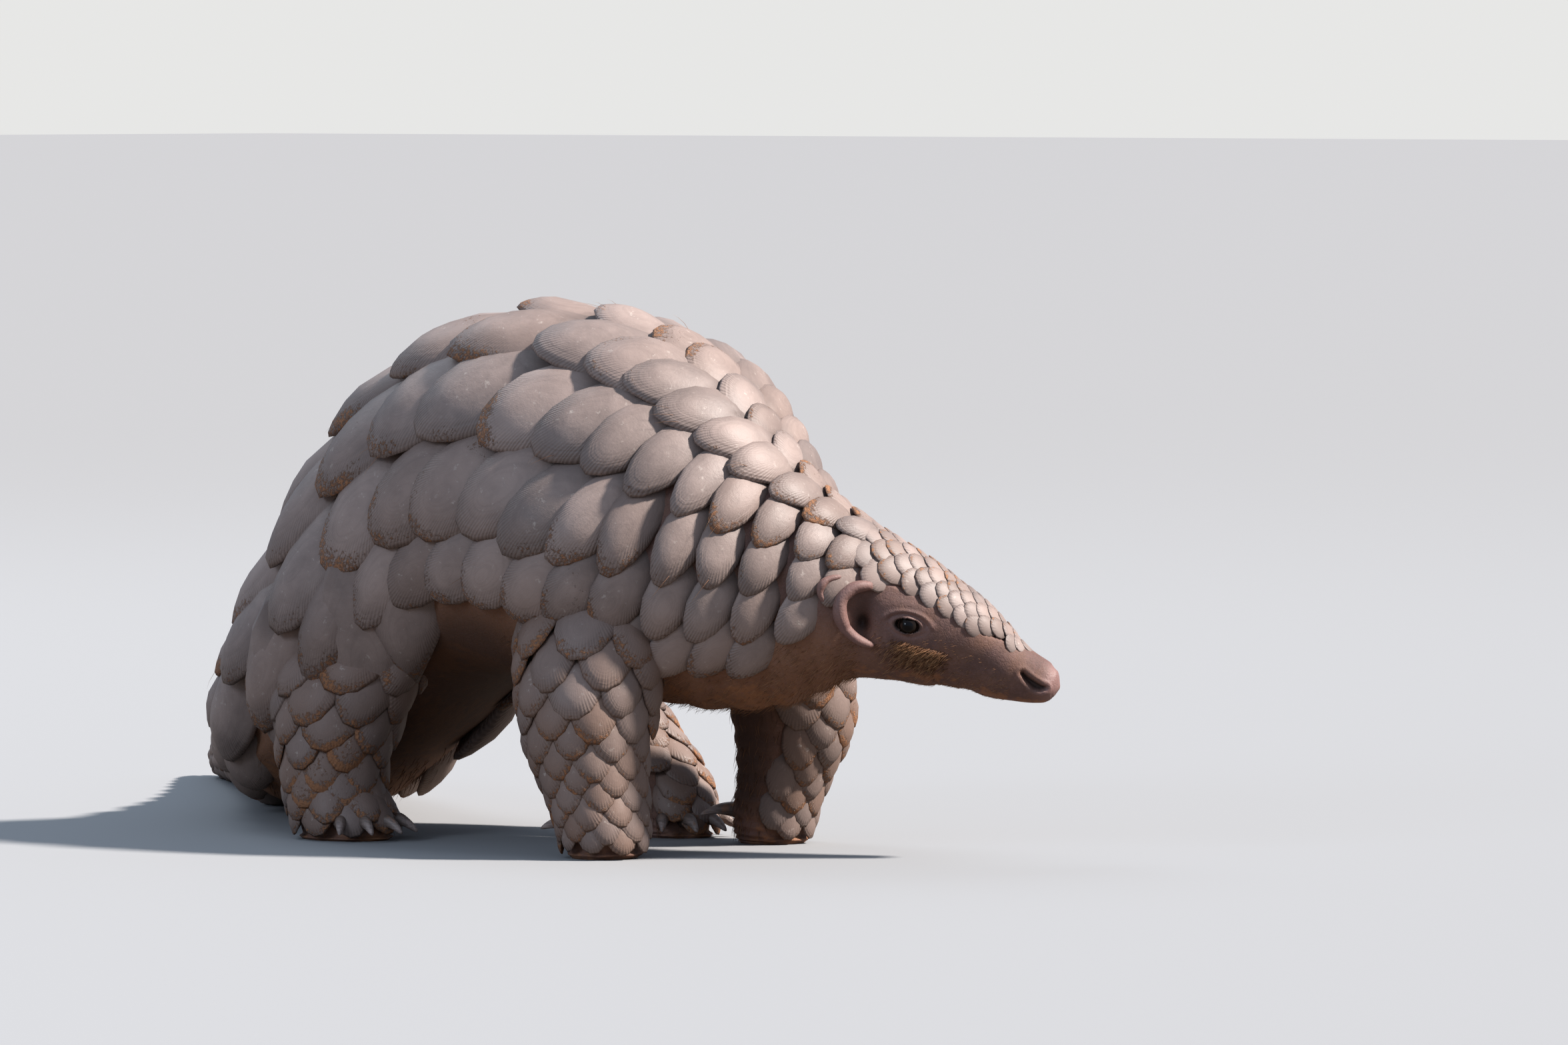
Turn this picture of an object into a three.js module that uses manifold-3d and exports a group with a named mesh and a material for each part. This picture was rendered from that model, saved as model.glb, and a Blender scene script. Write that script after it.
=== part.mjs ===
// Indian pangolin walking, a still life-size model in separate anatomical parts.
// Millimetres. X points forward, Y to the animal's left, Z up, and the floor is z = 0.
// The body is one tube of stations from nose to tail tip. The scales are shields set on it in
// staggered ranks. The whole animal is joined first and then parted by thin cuts.
import * as THREE from 'three';
import { mergeVertices } from 'three/addons/utils/BufferGeometryUtils.js';
import Module from 'manifold-3d';

const wasm = await Module();
wasm.setup();

// Driving dimensions
const GAP = 0.3;
const SIDES = 16;
const LEG_SIDES = 12;
const EYE_RADIUS = 4.8;
const EYE_DEPTH = 2.9;
const EYE_PLACE = { t: 7.73, v: 96 };
const LID_RING = 5.2;
const LID_THICK = 1.5;
const LID_SCALE = [0.8, 1.15, 1];
const EAR_THICK = 2.3;
const EAR_LIFT = 1.6;
const EAR_RIM = { t: 8.86, lean: 0.12, bow: 0.38, v: [79, 125] };
const EAR_HOLE = { t: 8.72, v: 104, reach: [4.2, 6.5, 4.2] };
const NOSTRIL = { t: 2.55, v: 96, reach: [2.0, 4.2, 2.4], turn: 50 };
const MOUTH = { from: 1.9, to: 4.2, v: [[1.9, 168], [3, 152], [4.2, 144]] };
const LIP_THICK = 1.5;
const LIP_ABOVE = 7;
const MOUTH_GROOVE = 0.8;
const FLOOR = 0;

// Stations along the body: centre x, y, z, half width, rise above and drop below the centre
const BODY = [
  [158, 67.2, 75, 1, 1, 1],
  [156, 65.9, 75.5, 6, 7, 5.5],
  [152, 63.3, 76.5, 9, 10, 8.5],
  [145, 58.6, 80, 10.5, 11.5, 12],
  [138, 53.7, 85, 13, 12.5, 16.5],
  [131, 49, 91.5, 16, 15, 21],
  [122, 43, 98, 19, 18.5, 25],
  [113.5, 37.3, 102, 21, 22, 28],
  [102.5, 30.2, 107, 23.5, 26, 31],
  [86, 19.5, 113, 28, 32, 37],
  [62, 8, 118, 38, 45, 53],
  [30, 1, 124, 55, 69, 62],
  [-5, 0, 131, 67, 88, 66],
  [-40, 0, 138, 71, 94, 69],
  [-74, 0, 141, 72, 96, 71],
  [-106, 0, 136, 70, 93, 66],
  [-136, 0, 123, 67, 84, 58],
  [-164, 0, 104, 64, 71, 52],
  [-192, 3, 82, 61, 59, 50],
  [-222, 14, 61, 57, 46, 46],
  [-254, 37, 46, 52, 36, 42],
  [-290, 68, 36, 47, 28, 35],
  [-328, 101, 29, 41, 23, 30],
  [-367, 131, 24, 35, 19, 25],
  [-406, 157, 20, 28, 16, 21],
  [-444, 178, 16, 20, 12, 17],
  [-478, 194, 11, 10, 8, 11],
  [-494, 201, 9, 1, 1, 1],
];

// Swellings of both flanks over the shoulders and haunches: place, spread, angle, fan and height
const SWELLINGS = [
  { t: 12.3, spread: 1.3, v: 100, fan: 30, height: 8 },
  { t: 17.3, spread: 1.5, v: 108, fan: 32, height: 10 },
];

// Fields of scales. From, to and the lists by place t give the stretch they cover, the step from
// rank to rank, the gap between scales of one rank and the reach down each side in degrees.
// Slope is the rise from root to tip, bed is how far the flesh lies lower under them, and
// lowered is the stretch where it does.
const CROWN_SCALES = {
  from: 3.4,
  to: 8.5,
  step: [[3.3, 5], [8.9, 6]],
  gap: [[3.3, 11.4], [6, 12.4], [8.9, 15]],
  reach: [[3.3, 24], [4.4, 44], [5.3, 66], [8.9, 68]],
  slope: 0.16,
  bed: 1.2,
  lowered: [4, 9],
};
const TRUNK_SCALES = {
  from: 8.95,
  to: 25.7,
  step: [[9, 8], [10, 10], [11, 12.6], [12.5, 16.3], [14, 20.5], [17, 22], [20, 21], [24, 17], [26.5, 11]],
  gap: [[9, 21], [10, 27], [11, 36], [12.5, 44], [14, 52], [17, 55], [20, 48], [24, 36], [26.5, 17]],
  reach: [[9, 88], [10, 104], [11, 108], [13, 108], [16, 114], [19, 112], [22, 104], [27, 104]],
  slope: 0.13,
  bed: 2.5,
  lowered: [9.2, 25.6],
};
const LEG_SCALES = {
  from: 1.0,
  short: 2.1,
  reach: [[0, 112]],
  middle: 62,
  slope: 0.13,
  bed: 2,
};
const FORELEG_SCALES = { ...LEG_SCALES, step: [[0, 16], [2, 12], [7, 9]], gap: [[0, 34], [2, 25], [7, 18]] };
const HINDLEG_SCALES = { ...LEG_SCALES, step: [[0, 21], [2, 17], [6, 10]], gap: [[0, 43], [2, 36], [6, 22]] };

// Stations down each leg: centre x, y, z, half length along X and half width along Y
const LEGS = {
  foreleg_right: {
    side: -1,
    scales: FORELEG_SCALES,
    stations: [
      [-16, -38, 122, 32, 24],
      [-12, -48, 96, 34, 28],
      [-8, -55, 72, 31, 29],
      [-6, -58, 48, 26, 26],
      [-1, -58, 29, 21, 22],
      [3, -58, 14, 19, 20],
      [4, -58, 4, 18, 18],
      [4, -58, 0, 14, 15],
    ],
    cut: { x: [-56, 42], inner: [12, 70], outer: [118, 120] },
  },
  foreleg_left: {
    side: 1,
    scales: FORELEG_SCALES,
    stations: [
      [4, 38, 122, 32, 24],
      [8, 47, 96, 32, 28],
      [10, 54, 72, 29, 28],
      [9, 58, 50, 26, 25],
      [4, 58, 30, 20, 21],
      [0, 57, 14, 18, 19],
      [-1, 57, 4, 17, 17],
      [-1, 57, 0, 14, 15],
    ],
    cut: { x: [-33, 44], inner: [12, 70], outer: [118, 120] },
  },
  hindleg_right: {
    side: -1,
    scales: HINDLEG_SCALES,
    stations: [
      [-158, -34, 104, 40, 24],
      [-162, -45, 76, 36, 26],
      [-166, -51, 50, 28, 24],
      [-166, -53, 26, 23, 21],
      [-161, -53, 12, 25, 21],
      [-159, -53, 3, 25, 20],
      [-159, -53, 0, 22, 17],
    ],
    cut: { x: [-206, -118], inner: [12, 54], outer: [118, 100] },
  },
  hindleg_left: {
    side: 1,
    scales: HINDLEG_SCALES,
    stations: [
      [-150, 36, 112, 36, 24],
      [-136, 45, 90, 34, 26],
      [-114, 52, 68, 31, 26],
      [-95, 56, 48, 27, 24],
      [-77, 57, 28, 29, 21],
      [-71, 57, 12, 31, 20],
      [-69, 57, 3, 30, 19],
      [-69, 57, 0, 27, 17],
    ],
    cut: { x: [-190, -34.5], inner: [12, 56], outer: [118, 100] },
  },
};

// One scale on its lattice, in ranks back from its root and columns across: how far back its
// tip, the shoulders of its free edge and its crown lie, and their shares of the full rise
const TIP = { back: 2.3, across: 0, rise: 1 };
const SHOULDER = { back: 1.98, across: 0.62, rise: 0.86 };
const CROWN = { back: 1.45, across: 0, rise: 0.74 };
const BASE_RISE = 0.2;
const SIDE_RISE = 0.3;
const COAT_DEPTH = 2.6;

// The lowered flesh reaches past the scales by a margin and ends in a ramp, in degrees
const BED_MARGIN = 4;
const BED_RAMP = 16;

// Claws: those of a forefoot by their place across it and length, those of a hind foot by angle
const FORE_CLAWS = [
  { across: -10, length: 24 },
  { across: 0, length: 29 },
  { across: 10, length: 22 },
];
const HIND_CLAWS = [-62, -32, 0, 32, 62];
const FORE_CLAW_THICK = 4.2;
const HIND_CLAW_THICK = 3.6;
const CLAW_POINT = 0.6;
const CLAW_ACROSS = 0.85;

// Places along the body where it is parted
const NECK_CUT = 9.62;
const SHOULDER_CUT = 11.05;
const RUMP_CUT = 18.6;
const TAIL_CUTS = [21.4, 24.0];

const COLOURS = {
  scales: new THREE.MeshStandardMaterial({ color: 0x96806f, roughness: 0.72, metalness: 0 }),
  skin: new THREE.MeshStandardMaterial({ color: 0x8a6758, roughness: 0.8, metalness: 0 }),
  ear: new THREE.MeshStandardMaterial({ color: 0xa9795f, roughness: 0.8, metalness: 0 }),
  eye: new THREE.MeshStandardMaterial({ color: 0x15171c, roughness: 0.08, metalness: 0 }),
  claw: new THREE.MeshStandardMaterial({ color: 0x4a3a32, roughness: 0.5, metalness: 0 }),
};

const radians = THREE.MathUtils.degToRad;

// An angle brought between minus and plus half a turn
function wrap(v) {
  return Math.atan2(Math.sin(v), Math.cos(v));
}

// Catmull-Rom value of a table of stations at place t
function stationAt(table, t) {
  const last = table.length - 1;
  const i = Math.min(Math.max(Math.floor(t), 0), last - 1);
  const f = t - i;
  const p1 = table[i];
  const p2 = table[i + 1];
  const p0 = i > 0 ? table[i - 1] : p1.map((a, k) => 2 * a - p2[k]);
  const p3 = i + 2 <= last ? table[i + 2] : p2.map((a, k) => 2 * a - p1[k]);
  return p1.map((a, k) => {
    const slope = p2[k] - p0[k];
    const bend = 2 * p0[k] - 5 * a + 4 * p2[k] - p3[k];
    const twist = 3 * a - p0[k] - 3 * p2[k] + p3[k];
    return 0.5 * (2 * a + slope * f + bend * f * f + twist * f * f * f);
  });
}

// Value at t of a short list of [t, value] pairs
function along(pairs, t) {
  if (t <= pairs[0][0]) return pairs[0][1];
  for (let i = 1; i < pairs.length; i += 1) {
    const [t0, a] = pairs[i - 1];
    const [t1, b] = pairs[i];
    if (t <= t1) return a + ((b - a) * (t - t0)) / (t1 - t0);
  }
  return pairs[pairs.length - 1][1];
}

// Directions of the body at t: towards the tail, to the left, and up from the back
function bodyFrame(t) {
  const step = 1e-3;
  const before = new THREE.Vector3(...stationAt(BODY, t - step));
  const after = new THREE.Vector3(...stationAt(BODY, t + step));
  const tailward = after.sub(before).normalize();
  const left = new THREE.Vector3().crossVectors(tailward, new THREE.Vector3(0, 0, 1)).normalize();
  const up = new THREE.Vector3().crossVectors(left, tailward);
  return { tailward, left, up };
}

// A point of the body: v is the angle from the back's middle, positive to the left
function bodyPoint(t, v, lift = 0) {
  const [x, y, z, width, rise, drop] = stationAt(BODY, t);
  const { left, up } = bodyFrame(t);
  const height = Math.cos(v) > 0 ? rise : drop;
  const angle = THREE.MathUtils.radToDeg(Math.abs(wrap(v)));
  const swelling = SWELLINGS.reduce((sum, bulge) => {
    const away = ((t - bulge.t) / bulge.spread) ** 2 + ((angle - bulge.v) / bulge.fan) ** 2;
    return sum + bulge.height * Math.exp(-away);
  }, lift);
  return new THREE.Vector3(x, y, z)
    .addScaledVector(left, (width + swelling) * Math.sin(v))
    .addScaledVector(up, (height + swelling) * Math.cos(v));
}

// A point of a leg: v is the angle from the front, positive to the left
function legPoint(stations) {
  return (t, v, lift = 0) => {
    const [x, y, z, length, width] = stationAt(stations, t);
    return new THREE.Vector3(x + (length + lift) * Math.cos(v), y + (width + lift) * Math.sin(v), z);
  };
}

// A closed manifold solid from points and triangles, turned outward if needed
function solid(points, triangles) {
  const corner = triangles.map((tri) => tri.map((i) => points[i]));
  const volume = corner.reduce((sum, [a, b, c]) => sum + a.dot(new THREE.Vector3().crossVectors(b, c)), 0);
  const order = volume > 0 ? triangles : triangles.map(([a, b, c]) => [a, c, b]);
  return new wasm.Manifold(new wasm.Mesh({
    numProp: 3,
    vertProperties: new Float32Array(points.flatMap((p) => [p.x, p.y, p.z])),
    triVerts: new Uint32Array(order.flat()),
  }));
}

// The same from a three.js geometry, placed by a matrix
function solidOf(geometry, matrix = new THREE.Matrix4()) {
  geometry.deleteAttribute('normal');
  geometry.deleteAttribute('uv');
  const merged = mergeVertices(geometry, 1e-4);
  merged.applyMatrix4(matrix);
  const place = merged.getAttribute('position');
  const points = [];
  for (let i = 0; i < place.count; i += 1) {
    points.push(new THREE.Vector3().fromBufferAttribute(place, i));
  }
  const index = Array.from(merged.index.array);
  const triangles = [];
  for (let i = 0; i < index.length; i += 3) {
    triangles.push(index.slice(i, i + 3));
  }
  return solid(points, triangles);
}

// A loft through rings of points, closed by a fan at each end
function loft(rings) {
  const sides = rings[0].length;
  const points = rings.flat();
  const triangles = [];
  for (let r = 0; r + 1 < rings.length; r += 1) {
    for (let k = 0; k < sides; k += 1) {
      const a = r * sides + k;
      const b = r * sides + ((k + 1) % sides);
      triangles.push([a, b, b + sides], [a, b + sides, a + sides]);
    }
  }
  for (const [r, turned] of [[0, true], [rings.length - 1, false]]) {
    const middle = rings[r].reduce((sum, p) => sum.add(p), new THREE.Vector3()).divideScalar(sides);
    points.push(middle);
    for (let k = 0; k < sides; k += 1) {
      const a = r * sides + k;
      const b = r * sides + ((k + 1) % sides);
      triangles.push(turned ? [b, a, points.length - 1] : [a, b, points.length - 1]);
    }
  }
  return solid(points, triangles);
}

// Rings of a surface at the given places
function rings(point, places, sides) {
  return places.map((t) => {
    const ring = [];
    for (let k = 0; k < sides; k += 1) {
      ring.push(point(t, (2 * Math.PI * k) / sides));
    }
    return ring;
  });
}

// Evenly spaced places from one t to another
function places(from, to, count) {
  return Array.from({ length: count + 1 }, (_, i) => from + ((to - from) * i) / count);
}

// A round rod along a list of {at, radius}, flattened by the ratio across
function rod(stops, sides, across = 1) {
  return loft(stops.map(({ at, radius }, i) => {
    const before = stops[Math.max(i - 1, 0)].at;
    const after = stops[Math.min(i + 1, stops.length - 1)].at;
    const way = new THREE.Vector3().subVectors(after, before).normalize();
    const helper = Math.abs(way.z) > 0.9 ? new THREE.Vector3(1, 0, 0) : new THREE.Vector3(0, 0, 1);
    const side = new THREE.Vector3().crossVectors(way, helper).normalize();
    const up = new THREE.Vector3().crossVectors(side, way);
    const ring = [];
    for (let k = 0; k < sides; k += 1) {
      const turn = (2 * Math.PI * (k + 0.5)) / sides;
      ring.push(at.clone()
        .addScaledVector(side, across * radius * Math.cos(turn))
        .addScaledVector(up, radius * Math.sin(turn)));
    }
    return ring;
  }));
}

// A matrix that sets a form on the body: its x across, y along the body and z outward
function onBody(t, v, lift, turn = 0) {
  const at = bodyPoint(t, v, lift);
  const step = 0.02;
  const way = bodyPoint(t + step, v).sub(bodyPoint(t - step, v)).normalize();
  const round = bodyPoint(t, v + step).sub(bodyPoint(t, v - step)).normalize();
  const out = new THREE.Vector3().crossVectors(way, round).normalize();
  if (out.dot(bodyPoint(t, v, 1).sub(bodyPoint(t, v))) < 0) out.negate();
  const y = way.clone().applyAxisAngle(out, turn);
  const x = new THREE.Vector3().crossVectors(y, out);
  return new THREE.Matrix4().makeBasis(x, y, out).setPosition(at);
}

// An ellipsoid set on the body
function bead(t, v, lift, reach, turn = 0) {
  const geometry = new THREE.SphereGeometry(1, 8, 6);
  geometry.scale(...reach);
  return solidOf(geometry, onBody(t, v, lift, turn));
}

// One eye's ball, grown by some clearance
function eyeBall(side, clearance) {
  const geometry = new THREE.SphereGeometry(EYE_RADIUS + clearance, 11, 8);
  return solidOf(geometry, onBody(EYE_PLACE.t, side * radians(EYE_PLACE.v), -EYE_DEPTH));
}

// The rolled rim of one ear, a crescent behind its opening
function earRim(side, clearance) {
  const stops = places(0, 1, 7).map((s) => {
    const swell = Math.sqrt(Math.max(0.12, Math.sin(Math.PI * (0.06 + 0.88 * s))));
    const t = EAR_RIM.t - EAR_RIM.lean * s + EAR_RIM.bow * Math.sin(Math.PI * s);
    const v = side * radians(EAR_RIM.v[0] + (EAR_RIM.v[1] - EAR_RIM.v[0]) * s);
    return { at: bodyPoint(t, v, EAR_LIFT), radius: EAR_THICK * swell + clearance };
  });
  return rod(stops, 6);
}

// The line of the mouth on one side, and the lip above it
function mouthRod(side, radius, rise) {
  const stops = places(MOUTH.from, MOUTH.to, 5).map((t) => {
    const v = side * radians(along(MOUTH.v, t) - rise);
    return { at: bodyPoint(t, v, 0), radius };
  });
  return rod(stops, 5);
}

// How far the flesh lies lower at a place under a field of scales
function bed(field, t, v, [from, to] = field.lowered) {
  if (t < from || t > to) return 0;
  const inside = radians(along(field.reach, t) + BED_MARGIN) - Math.abs(v);
  return field.bed * Math.min(Math.max(inside / radians(BED_RAMP), 0), 1);
}

// The flesh of the body, lowered where the scales lie on it
function fleshPoint(t, v) {
  const crown = bed(CROWN_SCALES, t, wrap(v));
  const trunk = bed(TRUNK_SCALES, t, wrap(v));
  return bodyPoint(t, v, -Math.max(crown, trunk));
}

// The plain tube of the body from nose to tail tip
function bodyTube() {
  const stops = [
    ...places(0, 10, 22),
    ...places(10.6, 20, 13),
    ...places(20.7, 27, 9),
  ];
  return loft(rings(fleshPoint, stops, SIDES));
}

// The plain tube of one leg
function legTube(leg) {
  const point = legPoint(leg.stations);
  const last = leg.stations.length - 1;
  const flesh = (t, v) => {
    const around = wrap(v - leg.side * radians(LEG_SCALES.middle));
    return point(t, v, -bed(LEG_SCALES, t, around, [0, last - LEG_SCALES.short]));
  };
  return loft(rings(flesh, places(0, last, 10), LEG_SIDES));
}

// Ranks of scales: each holds its place t and the outermost column that it reaches.
// Columns count half gaps from the middle line, and a rank holds every other column.
function scaleRanks(field, size) {
  const ranks = [];
  let t = field.from;
  for (let i = 0; t < field.to; i += 1) {
    const { radius, length } = size(t);
    const turn = along(field.gap, t) / radius;
    const share = (2 * radians(along(field.reach, t))) / turn;
    const outer = Math.max(2 * Math.round((share - (i % 2)) / 2) + (i % 2), i % 2);
    ranks.push({ t, outer });
    t += along(field.step, t) / length;
  }
  return ranks;
}

// Place along the surface of rank number x, between and past the ranks too
function rankPlace(ranks, x) {
  const i = Math.min(Math.max(Math.floor(x), 0), ranks.length - 2);
  return ranks[i].t + (x - i) * (ranks[i + 1].t - ranks[i].t);
}

// A coat of overlapping scales as one closed shell, sunk in the flesh that carries it.
// Each scale shows a rounded field, with a step down along its free edge to the scales behind.
// Its free edge runs between the tips of the two scales in front of it.
function scaleCoat(point, field, size, middle = 0) {
  const ranks = scaleRanks(field, size);
  const points = [];
  const numbers = new Map();
  const vertex = (i, c, part, level) => {
    const key = `${i} ${c} ${part} ${level}`;
    if (numbers.has(key)) return numbers.get(key);
    const sort = { tip: TIP, left: SHOULDER, right: SHOULDER, crown: CROWN }[part];
    const t = rankPlace(ranks, i + sort.back);
    const column = c + (part === 'left' ? -sort.across : sort.across);
    const v = middle + ((along(field.gap, t) / size(t).radius) * column) / 2;
    const full = field.slope * along(field.step, t) * TIP.back;
    const lifts = {
      top: full * sort.rise,
      foot: full * (part === 'tip' ? BASE_RISE : SIDE_RISE),
      bed: -field.bed - COAT_DEPTH,
    };
    points.push(point(t, v, lifts[level]));
    numbers.set(key, points.length - 1);
    return points.length - 1;
  };
  // Each corner of the shell is a vertex above and its partner in the flesh below
  const corner = (i, c, part, level) => [vertex(i, c, part, level), vertex(i, c, part, 'bed')];
  const faces = [];
  ranks.forEach(({ outer }, i) => {
    for (let c = -outer; c <= outer; c += 2) {
      const crown = corner(i, c, 'crown', 'top');
      const [tip, left, right] = ['tip', 'left', 'right'].map((part) => corner(i, c, part, 'top'));
      const [tipFoot, leftFoot, rightFoot] = ['tip', 'left', 'right'].map(
        (part) => corner(i, c, part, 'foot'),
      );
      const rightEnd = corner(i - 1, c + 1, 'tip', 'foot');
      const leftEnd = corner(i - 1, c - 1, 'tip', 'foot');
      const outline = [
        corner(i - 2, c, 'tip', 'foot'),
        corner(i - 1, c + 1, 'left', 'foot'),
        rightEnd,
        right,
        tip,
        left,
        leftEnd,
        corner(i - 1, c - 1, 'right', 'foot'),
      ];
      outline.forEach((a, k) => faces.push([crown, a, outline[(k + 1) % outline.length]]));
      faces.push([right, rightEnd, rightFoot]);
      faces.push([tip, right, rightFoot], [tip, rightFoot, tipFoot]);
      faces.push([left, tip, tipFoot], [left, tipFoot, leftFoot]);
      faces.push([leftEnd, left, leftFoot]);
    }
  });
  const triangles = [];
  const edges = new Map();
  for (const face of faces) {
    triangles.push(face.map(([above]) => above));
    const [a, b, c] = face.map(([, below]) => below);
    if (a !== b && b !== c && c !== a) triangles.push([a, c, b]);
    face.forEach((from, k) => {
      const to = face[(k + 1) % 3];
      edges.set(`${from[0]} ${to[0]}`, [from, to]);
    });
  }
  for (const [from, to] of edges.values()) {
    if (!edges.has(`${to[0]} ${from[0]}`)) {
      triangles.push([to[0], from[0], from[1]], [to[0], from[1], to[1]]);
    }
  }
  return solid(points, triangles);
}

// Mean radius of the body at t, and its length for one unit of t
function bodySize(t) {
  const step = 0.05;
  const before = new THREE.Vector3(...stationAt(BODY, t - step));
  const after = new THREE.Vector3(...stationAt(BODY, t + step));
  const back = bodyPoint(t + step, 0).distanceTo(bodyPoint(t - step, 0));
  const [, , , width, rise] = stationAt(BODY, t);
  return { radius: (width + rise) / 2, length: (back + before.distanceTo(after)) / (4 * step) };
}

// The scales of one leg, on its front and outer side
function legCoat(leg) {
  const size = (t) => {
    const step = 0.1;
    const [, , above] = stationAt(leg.stations, t - step);
    const [, , below] = stationAt(leg.stations, t + step);
    const [, , , length, width] = stationAt(leg.stations, t);
    return { radius: (length + width) / 2, length: (above - below) / (2 * step) };
  };
  const field = { ...leg.scales, to: leg.stations.length - 1 - LEG_SCALES.short };
  return scaleCoat(legPoint(leg.stations), field, size, leg.side * radians(LEG_SCALES.middle));
}

// The block of space that belongs to one leg, grown by some clearance
function legSpace(leg, clearance) {
  const { x, inner, outer } = leg.cut;
  const depth = -20;
  const near = leg.side * (inner[0] - clearance);
  const far = leg.side * (outer[0] + clearance);
  const shape = new THREE.Shape([
    new THREE.Vector2(near, depth),
    new THREE.Vector2(far, depth),
    new THREE.Vector2(far, outer[1] + clearance),
    new THREE.Vector2(near, inner[1] + clearance),
  ]);
  const geometry = new THREE.ExtrudeGeometry(shape, {
    depth: x[1] - x[0] + 2 * clearance,
    bevelEnabled: false,
  });
  const stand = new THREE.Matrix4().makeBasis(
    new THREE.Vector3(0, 1, 0),
    new THREE.Vector3(0, 0, 1),
    new THREE.Vector3(1, 0, 0),
  );
  stand.setPosition(x[0] - clearance, 0, 0);
  return solidOf(geometry, stand);
}

// The claws of a forefoot are folded back under it, so that only their ends show behind it
function foreClaws(leg) {
  const [x, y] = leg.stations[leg.stations.length - 2];
  const claws = [];
  for (const { across, length } of FORE_CLAWS) {
    const shape = (clearance) => rod(places(0, 1, 4).map((s) => ({
      at: new THREE.Vector3(
        x - 6 - length * s,
        y + across * (1 + 0.15 * s) - leg.side * 3 * s,
        13.5 + 3 * Math.sin(Math.PI * s * 0.8) - 3.5 * s,
      ),
      radius: FORE_CLAW_THICK * (1 - s) ** 0.7 + CLAW_POINT + clearance,
    })), 5, CLAW_ACROSS);
    claws.push(shape);
  }
  return claws;
}

// The short nails of a hind foot point forward and down
function hindClaws(leg) {
  const [x, y, z, length, width] = leg.stations[leg.stations.length - 2];
  const claws = [];
  for (const turn of HIND_CLAWS) {
    const away = radians(turn);
    const shape = (clearance) => rod(places(0, 1, 4).map((s) => ({
      at: new THREE.Vector3(
        x + (length - 5 + 15 * s) * Math.cos(away * 0.9),
        y + (width - 4 + 11 * s) * Math.sin(away),
        z + 5 + 2.5 * Math.sin(Math.PI * s) - 4.2 * s,
      ),
      radius: HIND_CLAW_THICK * (1 - s) ** 0.6 + CLAW_POINT + clearance,
    })), 5, CLAW_ACROSS);
    claws.push(shape);
  }
  return claws;
}

// The half of a solid on one side of the cross-section at t, with half the gap taken off it
function cutAt(whole, t, side) {
  const at = new THREE.Vector3(...stationAt(BODY, t));
  const { tailward } = bodyFrame(t);
  const normal = tailward.clone().multiplyScalar(side);
  return whole.trimByPlane(normal.toArray(), at.dot(normal) + GAP / 2);
}

// The largest closed body of a solid
function largest(whole) {
  const bodies = whole.decompose();
  return bodies.reduce((best, body) => (body.volume() > best.volume() ? body : best), bodies[0]);
}

const pangolin = new THREE.Group();
const solids = [];

// Keeps a solid as a named part of the animal
function keep(name, whole, material) {
  solids.push({ name, whole: largest(whole), material });
}

// The whole animal in one piece
let animal = wasm.Manifold.union([
  bodyTube(),
  scaleCoat(bodyPoint, CROWN_SCALES, bodySize),
  scaleCoat(bodyPoint, TRUNK_SCALES, bodySize),
  ...Object.values(LEGS).flatMap((leg) => [legTube(leg), legCoat(leg)]),
]);
for (const side of [-1, 1]) {
  const v = side * radians(EYE_PLACE.v);
  const lids = new THREE.TorusGeometry(LID_RING, LID_THICK, 5, 11);
  lids.scale(...LID_SCALE);
  animal = animal.add(solidOf(lids, onBody(EYE_PLACE.t, v, 0)));
  animal = animal.subtract(eyeBall(side, GAP));
  animal = animal.add(mouthRod(side, LIP_THICK, LIP_ABOVE));
  animal = animal.subtract(mouthRod(side, MOUTH_GROOVE, 0));
  animal = animal.subtract(bead(EAR_HOLE.t, side * radians(EAR_HOLE.v), 0, EAR_HOLE.reach));
  animal = animal.subtract(
    bead(NOSTRIL.t, side * radians(NOSTRIL.v), 0, NOSTRIL.reach, side * radians(NOSTRIL.turn)),
  );
  animal = animal.subtract(earRim(side, GAP));
}
animal = animal.trimByPlane([0, 0, 1], FLOOR);

// Legs with their claws
for (const [name, leg] of Object.entries(LEGS)) {
  let limb = animal.intersect(legSpace(leg, 0));
  const claws = name.startsWith('fore') ? foreClaws(leg) : hindClaws(leg);
  claws.forEach((shape, i) => {
    limb = limb.subtract(shape(GAP));
    keep(`claw_${name}_${i + 1}`, shape(0).trimByPlane([0, 0, 1], FLOOR), COLOURS.claw);
  });
  keep(name, limb, COLOURS.scales);
  animal = animal.subtract(legSpace(leg, GAP));
}

// Head, neck, torso and the lengths of the tail
const cuts = [NECK_CUT, SHOULDER_CUT, RUMP_CUT, ...TAIL_CUTS];
const names = ['head', 'neck', 'torso', 'tail_base', 'tail_middle', 'tail_tip'];
names.forEach((name, i) => {
  let length = animal;
  if (i > 0) length = cutAt(length, cuts[i - 1], 1);
  if (i < cuts.length) length = cutAt(length, cuts[i], -1);
  keep(name, length, name === 'head' ? COLOURS.skin : COLOURS.scales);
});

for (const [word, side] of [['right', -1], ['left', 1]]) {
  keep(`eye_${word}`, eyeBall(side, 0), COLOURS.eye);
  keep(`ear_${word}`, earRim(side, 0), COLOURS.ear);
}

// The origin is on the floor under the middle of the whole animal
const box = new THREE.Box3();
for (const { whole } of solids) {
  const { min, max } = whole.boundingBox();
  box.expandByPoint(new THREE.Vector3(...min));
  box.expandByPoint(new THREE.Vector3(...max));
}
const centre = box.getCenter(new THREE.Vector3());

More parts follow.
